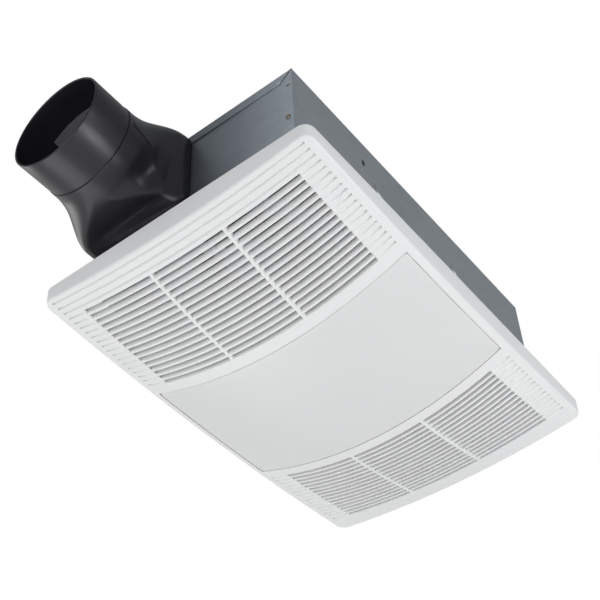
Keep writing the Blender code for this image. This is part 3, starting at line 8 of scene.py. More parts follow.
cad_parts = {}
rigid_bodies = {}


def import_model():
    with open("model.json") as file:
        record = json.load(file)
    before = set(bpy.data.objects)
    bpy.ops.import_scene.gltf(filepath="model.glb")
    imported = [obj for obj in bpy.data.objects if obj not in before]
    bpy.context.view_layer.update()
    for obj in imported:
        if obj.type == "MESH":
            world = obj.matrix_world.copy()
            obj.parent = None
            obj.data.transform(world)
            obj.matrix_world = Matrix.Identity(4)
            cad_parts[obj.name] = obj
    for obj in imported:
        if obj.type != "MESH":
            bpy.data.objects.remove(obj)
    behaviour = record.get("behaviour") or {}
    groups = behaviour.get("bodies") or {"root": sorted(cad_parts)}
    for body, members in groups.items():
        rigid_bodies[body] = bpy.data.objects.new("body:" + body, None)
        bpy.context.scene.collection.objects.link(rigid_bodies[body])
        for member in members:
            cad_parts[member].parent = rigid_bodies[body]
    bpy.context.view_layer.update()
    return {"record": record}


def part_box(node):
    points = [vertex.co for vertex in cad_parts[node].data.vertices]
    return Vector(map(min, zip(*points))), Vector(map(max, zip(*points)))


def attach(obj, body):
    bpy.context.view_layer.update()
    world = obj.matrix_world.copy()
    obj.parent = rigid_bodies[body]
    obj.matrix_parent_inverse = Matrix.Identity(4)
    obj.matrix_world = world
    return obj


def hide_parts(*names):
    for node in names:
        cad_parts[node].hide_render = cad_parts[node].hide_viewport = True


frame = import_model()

MM = 0.001

# The cover: half its sizes, its wall, the corners of its outline and where its edge begins
HALF_X, HALF_Y = 225 * MM, 149 * MM
COVER_WALL = 2.2 * MM
CORNER_RADIUS = 10 * MM
EDGE_RADIUS = 2.2 * MM
CORNER_X, CORNER_Y = HALF_X - CORNER_RADIUS, HALF_Y - CORNER_RADIUS
EDGE_X, EDGE_Y = HALF_X - 3.5 * MM, HALF_Y - 6.5 * MM

# Its dome: the depth of its corners, and what the long side, the short side and the centre add
CORNER_DEPTH, LONG_SIDE_DEPTH, SHORT_SIDE_DEPTH, CENTRE_DEPTH = 15 * MM, 9.4 * MM, 10.5 * MM, 24.5 * MM

# Its slots: rows along X on both sides, each cut by two mullions, with bars between them
FIRST_SLOT, SLOT_PITCH, SLOT_HALF, SLOT_ROWS = 92.8 * MM, 7 * MM, 2.15 * MM, 16
SLOT_END = 120.6 * MM
MULLION_Y, MULLION_HALF = 40.8 * MM, 1.5 * MM
SLOT_ROUNDING = 0.8 * MM
GRILLE_START, GRILLE_END = FIRST_SLOT + SLOT_HALF - SLOT_PITCH, EDGE_X - 0.55 * MM
BAR_DEPTH = 6.6 * MM

# Its grooves: they run on from the slots, and three rows lie beyond the last slot. They are deeper
# and wider at their tips, shallower just beside the slots, and almost flat in the far three rows
GROOVE_ROWS = SLOT_ROWS + 3
GROOVE_END, GROOVE_HALF, GROOVE_DEPTH = 141.5 * MM, 1.1 * MM, 1.6 * MM
FADE_LENGTH, LEAST_FADE = 5 * MM, 0.3
TIP_START, TIP_LENGTH = GROOVE_END - 6 * MM, 4.5 * MM
TIP_DEPTH, TIP_WIDENING = 2.2 * MM, 0.2
FAR_ROWS_SHARE = 0.03

# The tray's bosses behind the cover
BOSS_X, BOSS_Y, BOSS_RADIUS, BOSS_CHAMFER, BOSS_TOP = 84.3 * MM, 62 * MM, 3.2 * MM, 0.3 * MM, -1.8 * MM

# The lens: its half width, the gap around it, its skirt, its flange and its rounded border
LENS_X, LENS_GAP, LENS_WALL = 77.8 * MM, 0.4 * MM, 2.2 * MM
SKIRT_WIDTH, SKIRT_HEIGHT = 4.2 * MM, 4.5 * MM
FLANGE_WIDTH, FLANGE_LEVEL = 2.6 * MM, 2.5 * MM
LENS_ROUNDING, LENS_CORNER = 2.0 * MM, 4.5 * MM

# Longest cells of the cover and the lens
COVER_CELL, LENS_CELL = 12 * MM, 8 * MM

# The duct connector: its neck's middle in Y and Z, its spans in Y and Z at the housing, its ends
DUCT_MIDDLE = (57.3 * MM, 84.8 * MM)
BOX_SPANS = ((2 * MM, 117 * MM), (37 * MM, 136 * MM))
BOX_CORNER = 10 * MM
NECK_RADIUS, CONNECTOR_WALL = 50.6 * MM, 2.5 * MM
SEAM_X, CONNECTOR_X = -271.9 * MM, -197.6 * MM
CORNER_STEPS = 20

# Its shoulder, the earlier start of the two corners that show in the outline, and how soon the
# lower one of these is done
SHOULDER_X, SHOULDER_LENGTH = -251.9 * MM, 40 * MM
EARLY_X, BRISK_LENGTH = -266 * MM, 58 * MM

# The dent in its ramp: depth, heading below the side in degrees, and widths above and below that
DENT_DEPTH, DENT_HEADING, DENT_ABOVE, DENT_BELOW = 12 * MM, 34, 24, 19
DENT_START, DENT_RISE = -254 * MM, 25 * MM
DENT_END, DENT_FALL = -218 * MM, 15 * MM

# The collar on the neck
COLLAR_RADIUS, COLLAR_WALL, COLLAR_LENGTH = 50 * MM, 2 * MM, 41 * MM
COLLAR_CHAMFER, COLLAR_MIDDLE = 0.4 * MM, 20 * MM

# The tongue inside the collar: radii, ends in X, first angle and turn in degrees
TONGUE_INNER, TONGUE_OUTER = 47.0 * MM, 47.9 * MM
TONGUE_FRONT, TONGUE_BACK = -282.4 * MM, -271.4 * MM
TONGUE_START, TONGUE_TURN = 40, 90

# The painted shadow of the slit in the neck: its start in X and Z, its length and drop, its half widths
# at start and tip
SLIT_X, SLIT_Z, SLIT_LENGTH, SLIT_DROP = -266.5 * MM, 85.6 * MM, 26 * MM, 7.4 * MM
SLIT_HALF, SLIT_TIP, SLIT_OUT, SLIT_IN = 2.7 * MM, 0.4 * MM, 0.45 * MM, 0.12 * MM

# Marks of the housing: rings of radius and height in mm, and their places
DIMPLE = ((3.4, -0.2), (3.2, 0.15), (2.4, 0.45), (1.3, 0.30), (0, 0.22))
DIMPLE_Y, DIMPLE_DROP = 101 * MM, 7 * MM
OBLONG = ((1.15, -0.1), (1.1, 0.12), (0.8, 0.12), (0.65, 0.04), (0, 0.03))
OBLONG_Y, OBLONG_Z, OBLONG_TURN, OBLONG_STRETCH = -112.2 * MM, 114 * MM, 84, 2.4
WALL_DIMPLE = ((1.9, -0.1), (1.75, 0.22), (1.45, 0.22), (1.35, 0.08), (0, 0.06))
WALL_DIMPLE_X, WALL_DIMPLE_Z, WALL_INSET = -94 * MM, 90 * MM, 0.8 * MM

# The painted shadow in the gap of each mitre: its ends measured inward from the corner, its half width,
# its levels
MITRE_ENDS, MITRE_HALF, MITRE_LEVELS = (0.9 * MM, 12.4 * MM), 0.35 * MM, (-0.06 * MM, 0.6 * MM)

# The part of the end wall with painted shade beside the connector, turning to painted light further along
# Y, and how these painted tones run along Y
END_WALL_X, END_WALL_HALF, END_WALL_TOP = -190 * MM, 116.7 * MM, 136.2 * MM
PAINTED_SHADE_PER_METRE = -8.5
PAINTED_SHADE_AND_LIGHT_TONES = ((0.0, (0.37, 0.38, 0.41)), (0.45, (0.73, 0.74, 0.77)), (1.0, (1.44, 1.46, 1.49)))

# Lights: name, place, what it points at, side of its square and power in watts
LIGHTS = (("key", (0.3, 1.3, -1.9), (0, 0, 0), 1.6, 15.0),
          ("side", (-2.1, -0.2, -1.1), (0, 0, 0), 1.4, 13.5),
          ("front", (-0.1, -1.7, -0.02), (-0.1, -0.12, 0.02), 0.5, 2.6),
          ("rim", (-0.1, 2.2, 0.4), (-0.2, 0.1, 0.05), 1.0, 7.0),
          ("glint", (0.27, -1.22, -0.72), (-0.3, 0.02, 0.05), 0.40, 6.0))

# The sky's brightest heading, and its tones from the darkest to the brightest heading
SKY_HEADING = (0.15, 0.45, -0.88)
SKY_TONES = ((0.0, (0.26, 0.275, 0.29)), (0.25, (0.37, 0.385, 0.40)), (0.5, (0.54, 0.545, 0.55)),
             (0.75, (0.70, 0.70, 0.70)), (1.0, (0.77, 0.77, 0.77)))
FLOOR_HALF, FLOOR_LEVEL = 4, -2.35

# Points nearer than this, in metres, are one
MERGE = 1e-6

# Past this angle, in degrees, the edges of the copies stay sharp
COPY_ANGLE = 35

# Where the chips begin above the low side of their strip
CHIP_HEIGHT = 0.9 * MM

# Solids that are built again here, and how far the edges of others are cut back, in mm
REBUILT = ("cover", "light_lens", "duct_connector", "duct_collar")
SOFT_EDGES = {"housing_wrap": 0.3, "end_plate_duct": 0.2, "end_plate_far": 0.2, "partition": 0.2,
              "light_tray": 0.3, "wiring_cover": 0.3, "wiring_socket": 0.3, "led_driver": 0.5,
              "heater_duct": 0.2, "spring_slot_front": 0.2, "spring_slot_back": 0.2,
              "spring_saddle_front": 0.2, "spring_saddle_back": 0.2, "blower_plate": 0.2,
              "element_holder_front": 0.4, "element_holder_back": 0.4}


# Camera, fitted to the photograph
def add_camera():
    """The photograph's camera: its place, its heading and its lens."""
    place = (-0.71144, -0.47916, -0.80832)
    forward = Vector((0.56832525, 0.40508322, 0.71618015))
    right = Vector((0.61120423, -0.7905667, -0.03786407))
    up = Vector((-0.55085007, -0.45925144, 0.69688759))
    data = bpy.data.cameras.new("camera")
    data.lens = 74.33
    data.sensor_width = 36.0
    data.sensor_fit = "HORIZONTAL"
    data.clip_start = 0.05
    data.clip_end = 50.0
    data.dof.use_dof = False
    camera = bpy.data.objects.new("camera", data)
    turn = Matrix((right, up, -forward)).transposed().to_4x4()
    camera.matrix_world = Matrix.Translation(place) @ turn
    bpy.context.scene.collection.objects.link(camera)
    bpy.context.scene.camera = camera


# Node helpers. Scales of noise and cells are per metre
def new_material(name, roughness=0.5, metallic=0.0):
    """A material with its node tree, its shader and object coordinates in metres."""
    made = bpy.data.materials.new(name)
    made.use_nodes = True
    tree = made.node_tree
    shader = tree.nodes["Principled BSDF"]
    shader.inputs["Roughness"].default_value = roughness
    shader.inputs["Metallic"].default_value = metallic
    shader.inputs["IOR"].default_value = 1.5
    place = tree.nodes.new("ShaderNodeTexCoord").outputs["Object"]
    return made, tree, shader, place


def stretched(tree, place, scale):
    """Coordinates stretched along the axes, for grain that runs one way."""
    node = tree.nodes.new("ShaderNodeMapping")
    node.inputs["Scale"].default_value = scale
    tree.links.new(place, node.inputs["Vector"])
    return node.outputs["Vector"]


def noise(tree, place, scale, detail=3.0, rough=0.55):
    """Cloudy values from 0 to 1."""
    node = tree.nodes.new("ShaderNodeTexNoise")
    node.inputs["Scale"].default_value = scale
    node.inputs["Detail"].default_value = detail
    node.inputs["Roughness"].default_value = rough
    tree.links.new(place, node.inputs["Vector"])
    return node.outputs["Fac"]


def cells(tree, place, scale):
    """Irregular cells, each with its distance and its own colour."""
    node = tree.nodes.new("ShaderNodeTexVoronoi")
    node.inputs["Scale"].default_value = scale
    tree.links.new(place, node.inputs["Vector"])
    return node


def ramp(tree, value, stops):
    """Colours or levels by value; stops are (place, colour) pairs."""
    node = tree.nodes.new("ShaderNodeValToRGB")
    while len(node.color_ramp.elements) < len(stops):
        node.color_ramp.elements.new(0.5)
    for element, (place, colour) in zip(node.color_ramp.elements, stops):
        element.position = place
        level = colour if isinstance(colour, tuple) else (colour, colour, colour)
        element.color = (*level, 1.0)
    tree.links.new(value, node.inputs["Fac"])
    return node.outputs["Color"]


def maths(tree, operation, first, second, clamp=False):
    """One sum of two values or numbers."""
    node = tree.nodes.new("ShaderNodeMath")
    node.operation = operation
    node.use_clamp = clamp
    for socket, value in zip(node.inputs, (first, second)):
        if isinstance(value, (int, float)):
            socket.default_value = value
        else:
            tree.links.new(value, socket)
    return node.outputs["Value"]


def mixed(tree, factor, first, second, blend="MIX"):
    """Blend two colours."""
    node = tree.nodes.new("ShaderNodeMix")
    node.data_type = "RGBA"
    node.blend_type = blend
    if isinstance(factor, (int, float)):
        node.inputs["Factor"].default_value = factor
    else:
        tree.links.new(factor, node.inputs["Factor"])
    for socket, value in ((node.inputs["A"], first), (node.inputs["B"], second)):
        if isinstance(value, tuple):
            socket.default_value = (*value, 1.0)
        else:
            tree.links.new(value, socket)
    return node.outputs["Result"]


def bump(tree, shader, heights):
    """Chain bumps of (height, strength, distance in metres) into the shader's normal."""
    last = None
    for height, strength, distance in heights:
        node = tree.nodes.new("ShaderNodeBump")
        node.inputs["Strength"].default_value = strength
        node.inputs["Distance"].default_value = distance
        tree.links.new(height, node.inputs["Height"])
        if last is not None:
            tree.links.new(last, node.inputs["Normal"])
        last = node.outputs["Normal"]
    tree.links.new(last, shader.inputs["Normal"])


# Materials
def plastic(name, colour, variation, roughness, grain, grain_depth, specular=0.5):
    """Moulded plastic: slight tone drift, a fine eroded grain and uneven gloss."""
    made, tree, shader, place = new_material(name)
    shader.inputs["Specular IOR Level"].default_value = specular
    low = tuple(c * (1 - variation) for c in colour)
    drift = ramp(tree, noise(tree, place, 9.0, 2.0), [(0.35, low), (0.65, colour)])
    tree.links.new(drift, shader.inputs["Base Color"])
    gloss = ramp(tree, noise(tree, place, 30.0, 3.0), [(0.3, roughness * 0.93), (0.7, roughness * 1.07)])
    tree.links.new(gloss, shader.inputs["Roughness"])
    bump(tree, shader, [(noise(tree, place, 14.0, 2.0), 0.06, 0.0005),
                        (noise(tree, place, grain, 2.0), 0.12, grain_depth)])
    return made


def opal(name):
    """The opal lens: milky plastic with a fine prism grid, lit through a little."""
    made, tree, shader, place = new_material(name, roughness=0.36)
    milky = [(0.35, (0.795, 0.797, 0.795)), (0.65, (0.812, 0.814, 0.812))]
    tree.links.new(ramp(tree, noise(tree, place, 7.0, 2.0), milky), shader.inputs["Base Color"])
    shader.inputs["Subsurface Weight"].default_value = 0.25
    shader.inputs["Subsurface Radius"].default_value = (0.004, 0.004, 0.004)
    shader.inputs["Subsurface Scale"].default_value = 1.0
    prisms = cells(tree, place, 520.0).outputs["Distance"]
    bump(tree, shader, [(noise(tree, place, 12.0, 2.0), 0.08, 0.0005), (prisms, 0.18, 0.00012)])
    return made


def painted_shade_beside_duct(tree, place):
    """Painted shade on the end wall, darkest beside the connector, turning to painted light further along
    Y.
    """
    parts = tree.nodes.new("ShaderNodeSeparateXYZ")
    tree.links.new(place, parts.inputs[0])
    painted_tone = ramp(tree, maths(tree, "MULTIPLY", parts.outputs["Y"], PAINTED_SHADE_PER_METRE, True), PAINTED_SHADE_AND_LIGHT_TONES)
    at_end = maths(tree, "LESS_THAN", parts.outputs["X"], END_WALL_X)
    inside = maths(tree, "LESS_THAN", maths(tree, "ABSOLUTE", parts.outputs["Y"], 0.0), END_WALL_HALF)
    below = maths(tree, "LESS_THAN", parts.outputs["Z"], END_WALL_TOP)
    at_end = maths(tree, "MULTIPLY", maths(tree, "MULTIPLY", at_end, inside), below)
    return mixed(tree, at_end, (1.0, 1.0, 1.0), painted_tone)


def galvanised(name, dark, light):
    """Zinc-coated sheet: faint spangles of different tone and gloss, rolling streaks and stains, with
    painted shade and light on the end wall beside the connector.
    """
    made, tree, shader, place = new_material(name, metallic=0.75)
    spangle = cells(tree, place, 120.0)
    tone = maths(tree, "MULTIPLY", spangle.outputs["Color"], 0.16)
    streak = noise(tree, stretched(tree, place, (14.0, 14.0, 300.0)), 1.0, 3.0)
    cloud = noise(tree, place, 9.0, 3.0)
    total = maths(tree, "ADD", tone, maths(tree, "MULTIPLY", cloud, 0.40))
    total = maths(tree, "ADD", total, maths(tree, "MULTIPLY", streak, 0.20))
    zinc = ramp(tree, total, [(0.22, dark), (0.62, light)])
    # Painted shade beside the connector, multiplied into the zinc
    shaded = mixed(tree, 1.0, zinc, painted_shade_beside_duct(tree, place), "MULTIPLY")
    tree.links.new(shaded, shader.inputs["Base Color"])
    uneven = maths(tree, "ADD", maths(tree, "MULTIPLY", cloud, 0.4), tone)
    tree.links.new(ramp(tree, uneven, [(0.1, 0.40), (0.5, 0.50)]), shader.inputs["Roughness"])
    bump(tree, shader, [(cloud, 0.06, 0.0006), (spangle.outputs["Distance"], 0.03, 0.00010),
                        (noise(tree, place, 900.0, 2.0), 0.06, 0.00004)])
    return made


def metal(name, dark, light, roughness, along):
    """Bare metal with fine drawn lines along one axis."""
    made, tree, shader, place = new_material(name, metallic=1.0)
    scale = tuple(27.0 if k == along else 900.0 for k in range(3))
    lines = noise(tree, stretched(tree, place, scale), 1.0, 3.0, 0.6)
    tree.links.new(ramp(tree, lines, [(0.3, dark), (0.7, light)]), shader.inputs["Base Color"])
    gloss = ramp(tree, noise(tree, place, 120.0, 3.0), [(0.3, roughness * 0.85), (0.7, roughness * 1.2)])
    tree.links.new(gloss, shader.inputs["Roughness"])
    bump(tree, shader, [(lines, 0.12, 0.00004)])
    return made


def enamel(name, colour, roughness):
    """Sprayed paint with orange peel and a little dust in patches."""
    made, tree, shader, place = new_material(name)
    dusty = tuple(c * 1.25 + 0.004 for c in colour)
    dust = ramp(tree, noise(tree, place, 45.0, 4.0), [(0.45, colour), (0.8, dusty)])
    tree.links.new(dust, shader.inputs["Base Color"])
    gloss = ramp(tree, noise(tree, place, 60.0, 3.0), [(0.3, roughness * 0.85), (0.7, roughness * 1.15)])
    tree.links.new(gloss, shader.inputs["Roughness"])
    bump(tree, shader, [(noise(tree, place, 420.0, 2.0), 0.18, 0.00010)])
    return made


def phenolic(name):
    """Brown heat-proof board with fibres along it."""
    made, tree, shader, place = new_material(name, roughness=0.6)
    fibre = noise(tree, stretched(tree, place, (60.0, 900.0, 900.0)), 1.0, 4.0, 0.65)
    colour = ramp(tree, fibre, [(0.3, (0.13, 0.085, 0.055)), (0.7, (0.24, 0.17, 0.11))])
    tree.links.new(colour, shader.inputs["Base Color"])
    bump(tree, shader, [(fibre, 0.3, 0.0001)])
    return made


def led_strip(name, chip_level):
    """White strip with yellow chips: the colour changes where the chips stand out."""
    made, tree, shader, place = new_material(name, roughness=0.42)
    split = tree.nodes.new("ShaderNodeSeparateXYZ")
    tree.links.new(place, split.inputs["Vector"])
    on_chip = maths(tree, "LESS_THAN", split.outputs["Z"], chip_level)
    white = [(0.4, (0.78, 0.79, 0.78)), (0.6, (0.84, 0.85, 0.84))]
    yellow = [(0.3, (0.80, 0.58, 0.10)), (0.7, (0.90, 0.72, 0.20))]
    board = ramp(tree, noise(tree, place, 200.0, 2.0), white)
    phosphor = ramp(tree, noise(tree, place, 700.0, 2.0), yellow)
    tree.links.new(mixed(tree, on_chip, board, phosphor), shader.inputs["Base Color"])
    bump(tree, shader, [(noise(tree, place, 800.0, 2.0), 0.12, 0.00005)])
    return made


def make_materials():
    """The look of every slot, and of a few pieces that differ from their slot."""
    return {
        "cover_plastic": plastic("cover_white", (0.880, 0.881, 0.880), variation=0.010, roughness=0.42,
                                 grain=1300.0, grain_depth=0.000012),
        "lens": opal("opal_plastic"),
        "tray_paint": enamel("tray_white", (0.80, 0.80, 0.79), roughness=0.42),
        "galvanised": galvanised("galvanised_sheet", dark=(0.330, 0.362, 0.385),
                                 light=(0.415, 0.450, 0.472)),
        "black_plastic": plastic("connector_black", (0.0150, 0.0133, 0.0185), variation=0.18,
                                 roughness=0.33, grain=1100.0, grain_depth=0.00005, specular=0.42),
        "flap_plastic": plastic("dark_grey_plastic", (0.085, 0.087, 0.090), variation=0.15,
                                roughness=0.48, grain=1100.0, grain_depth=0.00008),
        # Grey plastic lightened to about twice the flap's tone: painted light on the tongue inside the
        # mouth
        "tongue_painted_light_grey": plastic("neck_tongue_grey_painted_light", (0.185, 0.186, 0.195), variation=0.15,
                                  roughness=0.42, grain=1100.0, grain_depth=0.00008),
        "steel": metal("plated_steel", (0.46, 0.45, 0.43), (0.66, 0.65, 0.63), roughness=0.32, along=2),
        "spring_steel": metal("spring_wire", (0.30, 0.30, 0.31), (0.50, 0.50, 0.51), roughness=0.30,
                              along=2),
        "aluminium": metal("mill_aluminium", (0.62, 0.62, 0.63), (0.82, 0.82, 0.83), roughness=0.38,
                           along=1),
        "motor_paint": enamel("motor_black", (0.030, 0.030, 0.033), roughness=0.40),
        "holder": phenolic("brown_board"),
        "rivet": metal("zinc_rivet", (0.20, 0.16, 0.12), (0.34, 0.29, 0.22), roughness=0.45, along=2),
        # Near-black sheet for the painted shadows in the mitre gaps and the neck's slit
        "hole": enamel("hole_shadow", (0.012, 0.013, 0.015), roughness=0.7),
        "led": led_strip("led_strip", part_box("led_strip_1")[0][2] + CHIP_HEIGHT),
        "white_plastic": plastic("small_white_plastic", (0.78, 0.78, 0.77), variation=0.02,
                                 roughness=0.45, grain=1300.0, grain_depth=0.00006),
    }


# World, lights and floor. The light path only keeps what lies behind the object white
def make_world():
    """White behind the object; its light comes mostly from below and from the left of the picture."""
    world = bpy.data.worlds.new("world")
    bpy.context.scene.world = world
    world.use_nodes = True
    tree = world.node_tree
    tree.nodes.clear()
    path = tree.nodes.new("ShaderNodeLightPath")
    seen = maths(tree, "ADD", path.outputs["Is Camera Ray"], path.outputs["Is Transmission Ray"], True)
    white = tree.nodes.new("ShaderNodeBackground")
    white.inputs["Color"].default_value = (1.0, 1.0, 1.0, 1.0)
    white.inputs["Strength"].default_value = 1.0
    heading = tree.nodes.new("ShaderNodeVectorMath")
    heading.operation = "DOT_PRODUCT"
    heading.inputs[1].default_value = SKY_HEADING
    tree.links.new(tree.nodes.new("ShaderNodeTexCoord").outputs["Generated"], heading.inputs[0])
    side = maths(tree, "ADD", maths(tree, "MULTIPLY", heading.outputs["Value"], 0.5), 0.5, True)
    soft = tree.nodes.new("ShaderNodeBackground")
    tree.links.new(ramp(tree, side, SKY_TONES), soft.inputs["Color"])
    mix = tree.nodes.new("ShaderNodeMixShader")
    tree.links.new(seen, mix.inputs["Fac"])
    tree.links.new(soft.outputs["Background"], mix.inputs[1])
    tree.links.new(white.outputs["Background"], mix.inputs[2])
    out = tree.nodes.new("ShaderNodeOutputWorld")
    tree.links.new(mix.outputs["Shader"], out.inputs["Surface"])


def area_light(name, place, target, size, power):
    """A square lamp that points from its place at a target."""
    data = bpy.data.lights.new(name, "AREA")
    data.shape = "RECTANGLE"
    data.size, data.size_y = size, size
    data.energy = power
    lamp = bpy.data.objects.new(name, data)
    lamp.location = place
    heading = Vector(target) - Vector(place)
    lamp.rotation_euler = heading.to_track_quat("-Z", "Y").to_euler()
    bpy.context.scene.collection.objects.link(lamp)


def make_floor():
    """A floor far below: it throws light up, and it is plain white where it is seen."""
    bm = bmesh.new()
    for x, y in ((-1, -1), (1, -1), (1, 1), (-1, 1)):
        bm.verts.new((x * FLOOR_HALF, y * FLOOR_HALF, FLOOR_LEVEL))
    bm.faces.new(bm.verts)
    mesh = bpy.data.meshes.new("floor")
    bm.to_mesh(mesh)
    bm.free()
    floor = bpy.data.objects.new("floor", mesh)
    made = bpy.data.materials.new("floor_white")
    made.use_nodes = True
    tree = made.node_tree
    path = tree.nodes.new("ShaderNodeLightPath")
    seen = maths(tree, "ADD", path.outputs["Is Camera Ray"], path.outputs["Is Glossy Ray"], True)
    seen = maths(tree, "ADD", seen, path.outputs["Is Transmission Ray"], True)
    glow = tree.nodes.new("ShaderNodeEmission")
    mix = tree.nodes.new("ShaderNodeMixShader")
    tree.links.new(seen, mix.inputs["Fac"])
    tree.links.new(tree.nodes["Principled BSDF"].outputs["BSDF"], mix.inputs[1])
    tree.links.new(glow.outputs["Emission"], mix.inputs[2])
    tree.links.new(mix.outputs["Shader"], tree.nodes["Material Output"].inputs["Surface"])
    mesh.materials.append(made)
    bpy.context.scene.collection.objects.link(floor)


# Helpers for pieces
def add_piece(name, bm, look, body, angle=40):
    """Turn a form into a smooth piece that rides on a body; edges past the angle stay sharp."""
    mesh = bpy.data.meshes.new(name)
    bm.to_mesh(mesh)
    bm.free()
    mesh.shade_smooth()
    mesh.set_sharp_from_angle(angle=math.radians(angle))
    mesh.materials.append(look)
    piece = bpy.data.objects.new(name, mesh)
    bpy.context.scene.collection.objects.link(piece)
    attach(piece, body)
    return piece


def weigh_normals(mesh, angle):
    """Let the large faces lead the shading, so that narrow bends don't bleed into flat walls."""
    limit = math.cos(math.radians(angle))
    around = [[] for vertex in mesh.vertices]
    for polygon in mesh.polygons:
        for vertex in polygon.vertices:
            around[vertex].append((polygon.normal.copy(), polygon.area))
    normals = []
    for polygon in mesh.polygons:
        for vertex in polygon.vertices:
            total = Vector((0, 0, 0))
            for normal, area in around[vertex]:
                if normal.dot(polygon.normal) > limit:
                    total += normal * area
            normals.append(total.normalized() if total.length > 0 else polygon.normal.copy())
    mesh.normals_split_custom_set(normals)


def turned(profile, place, sides, bm=None):
    """A solid of revolution from (radius, height) points, about the place's own Z axis."""
    bm = bm or bmesh.new()
    rings = []
    for radius, height in profile:
        if radius == 0:
            rings.append([bm.verts.new(place @ Vector((0, 0, height)))])
            continue
        rings.append([bm.verts.new(place @ Vector((radius * math.cos(2 * math.pi * k / sides),
                                                   radius * math.sin(2 * math.pi * k / sides), height)))
                      for k in range(sides)])
    for low, high in zip(rings, rings[1:]):
        for k in range(sides):
            corners = [low[k - 1], low[k]] if len(low) > 1 else [low[0]]
            corners += [high[k], high[k - 1]] if len(high) > 1 else [high[0]]
            bm.faces.new(corners)
    return bm


def join_loops(bm, loops):
    """Skin the faces between each closed loop of points and the next."""
    for near, far in zip(loops, loops[1:]):
        for k in range(len(near)):
            bm.faces.new((near[k - 1], near[k], far[k], far[k - 1]))


def bar(rings):
    """A bar through rings of corners, closed at both ends."""
    bm = bmesh.new()
    loops = [[bm.verts.new(corner) for corner in ring] for ring in rings]
    join_loops(bm, loops)
    bm.faces.new(loops[0])
    bm.faces.new(reversed(loops[-1]))
    return bm


def facing(heading, centre, spin=0.0, stretch=1.0):
    """Places a turned form at a centre, looking along a heading, spun and stretched in its plane."""
    turn = Vector(heading).to_track_quat("Z", "Y").to_matrix().to_4x4()
    oval = Matrix.Rotation(spin, 4, "Z") @ Matrix.Diagonal((1.0, stretch, 1.0, 1.0))
    return Matrix.Translation(centre) @ turn @ oval


# Marks of the housing
def make_housing_marks(looks):
    """Pressed dimples, the slanted mark in the tab and painted shadows in the gaps of the mitres."""
    low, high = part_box("housing_wrap")

    def mark(name, look, rings, place, sides):
        bm = turned([(radius * MM, height * MM) for radius, height in rings], place, sides)
        add_piece(name, bm, looks[look], "housing")

    for k, y in enumerate((-DIMPLE_Y, DIMPLE_Y)):
        place = facing((-1, 0, 0), (low.x, y, high.z - DIMPLE_DROP))
        mark("strip_dimple_" + str(k + 1), "galvanised", DIMPLE, place, 24)
    place = facing((-1, 0, 0), (low.x, OBLONG_Y, OBLONG_Z), math.radians(OBLONG_TURN), OBLONG_STRETCH)
    mark("tab_slot", "rivet", OBLONG, place, 24)
    place = facing((0, -1, 0), (WALL_DIMPLE_X, WALL_INSET - high.y, WALL_DIMPLE_Z), 0.0, 0.9)
    mark("wall_dimple", "galvanised", WALL_DIMPLE, place, 20)
    # Near-black sheets in the mitre gaps: painted shadow
    front, back = MITRE_LEVELS
    ring = ((front, -MITRE_HALF), (front, MITRE_HALF), (back, MITRE_HALF), (back, -MITRE_HALF))
    for k, side in enumerate((-1, 1)):
        bm = bar([[(low.x + x, side * (high.y - inward - across), high.z - inward + across)
                   for x, across in ring] for inward in MITRE_ENDS])
        bmesh.ops.recalc_face_normals(bm, faces=bm.faces)
        piece = add_piece("mitre_shadow_" + str(k + 1), bm, looks["hole"], "housing", 30)


# The cover and the lens, on the same face as in the solid model but finer
def face(x, y):
    """Height of the cover's domed face."""
    across = 1 - (x / HALF_X) ** 2
    along = 1 - (y / HALF_Y) ** 2
    return -(CORNER_DEPTH + LONG_SIDE_DEPTH * across + (SHORT_SIDE_DEPTH + CENTRE_DEPTH * across) * along)


def relief(x, y):
    """Depth of the grooves, deepest at their tips, and of the rounding along the slots' edges."""
    row = round((abs(x) - FIRST_SLOT) / SLOT_PITCH)
    if not 0 <= row < GROOVE_ROWS:
        return 0.0
    in_slots = row < SLOT_ROWS
    share = FAR_ROWS_SHARE if x > 0 and not in_slots else 1.0
    off, y = abs(abs(x) - FIRST_SLOT - row * SLOT_PITCH), abs(y)
    before = SLOT_END - y if in_slots else 0.0
    tip = max(0.0, min(1.0, (y - TIP_START) / TIP_LENGTH))
    half = GROOVE_HALF * (1 + TIP_WIDENING * tip)
    beyond = max(before, y - GROOVE_END + half, 0.0)
    reach = min(math.hypot(off, beyond) / half, 1.0)
    fade = max(LEAST_FADE, min(1.0, (y - SLOT_END) / FADE_LENGTH)) if in_slots else 1.0
    deepest = share * (GROOVE_DEPTH * fade + TIP_DEPTH * tip * tip)
    depth = deepest * math.cos(reach * math.pi / 2) ** 1.5
    if in_slots:
        to_mullion = max(MULLION_HALF - abs(y - MULLION_Y), 0.0)
        away = math.hypot(max(off - SLOT_HALF, 0.0), max(to_mullion, y - SLOT_END, 0.0))
        short = SLOT_ROUNDING - min(away, SLOT_ROUNDING)
        depth = max(depth, SLOT_ROUNDING - math.sqrt(SLOT_ROUNDING ** 2 - short ** 2))
    return depth


def cover_levels(x, y):
    """Levels of the cover behind its face, or None where it is open."""
    if abs(x) < LENS_X + LENS_GAP and abs(y) < GROOVE_END + LENS_GAP:
        return None
    row = round((abs(x) - FIRST_SLOT) / SLOT_PITCH)
    in_row = 0 <= row < SLOT_ROWS and abs(abs(x) - FIRST_SLOT - row * SLOT_PITCH) < SLOT_HALF
    if in_row and abs(y) < SLOT_END and abs(abs(y) - MULLION_Y) > MULLION_HALF:
        return None
    in_bars = GRILLE_START < abs(x) < GRILLE_END and abs(y) < GROOVE_END
    return 0.0, BAR_DEPTH if in_bars else COVER_WALL


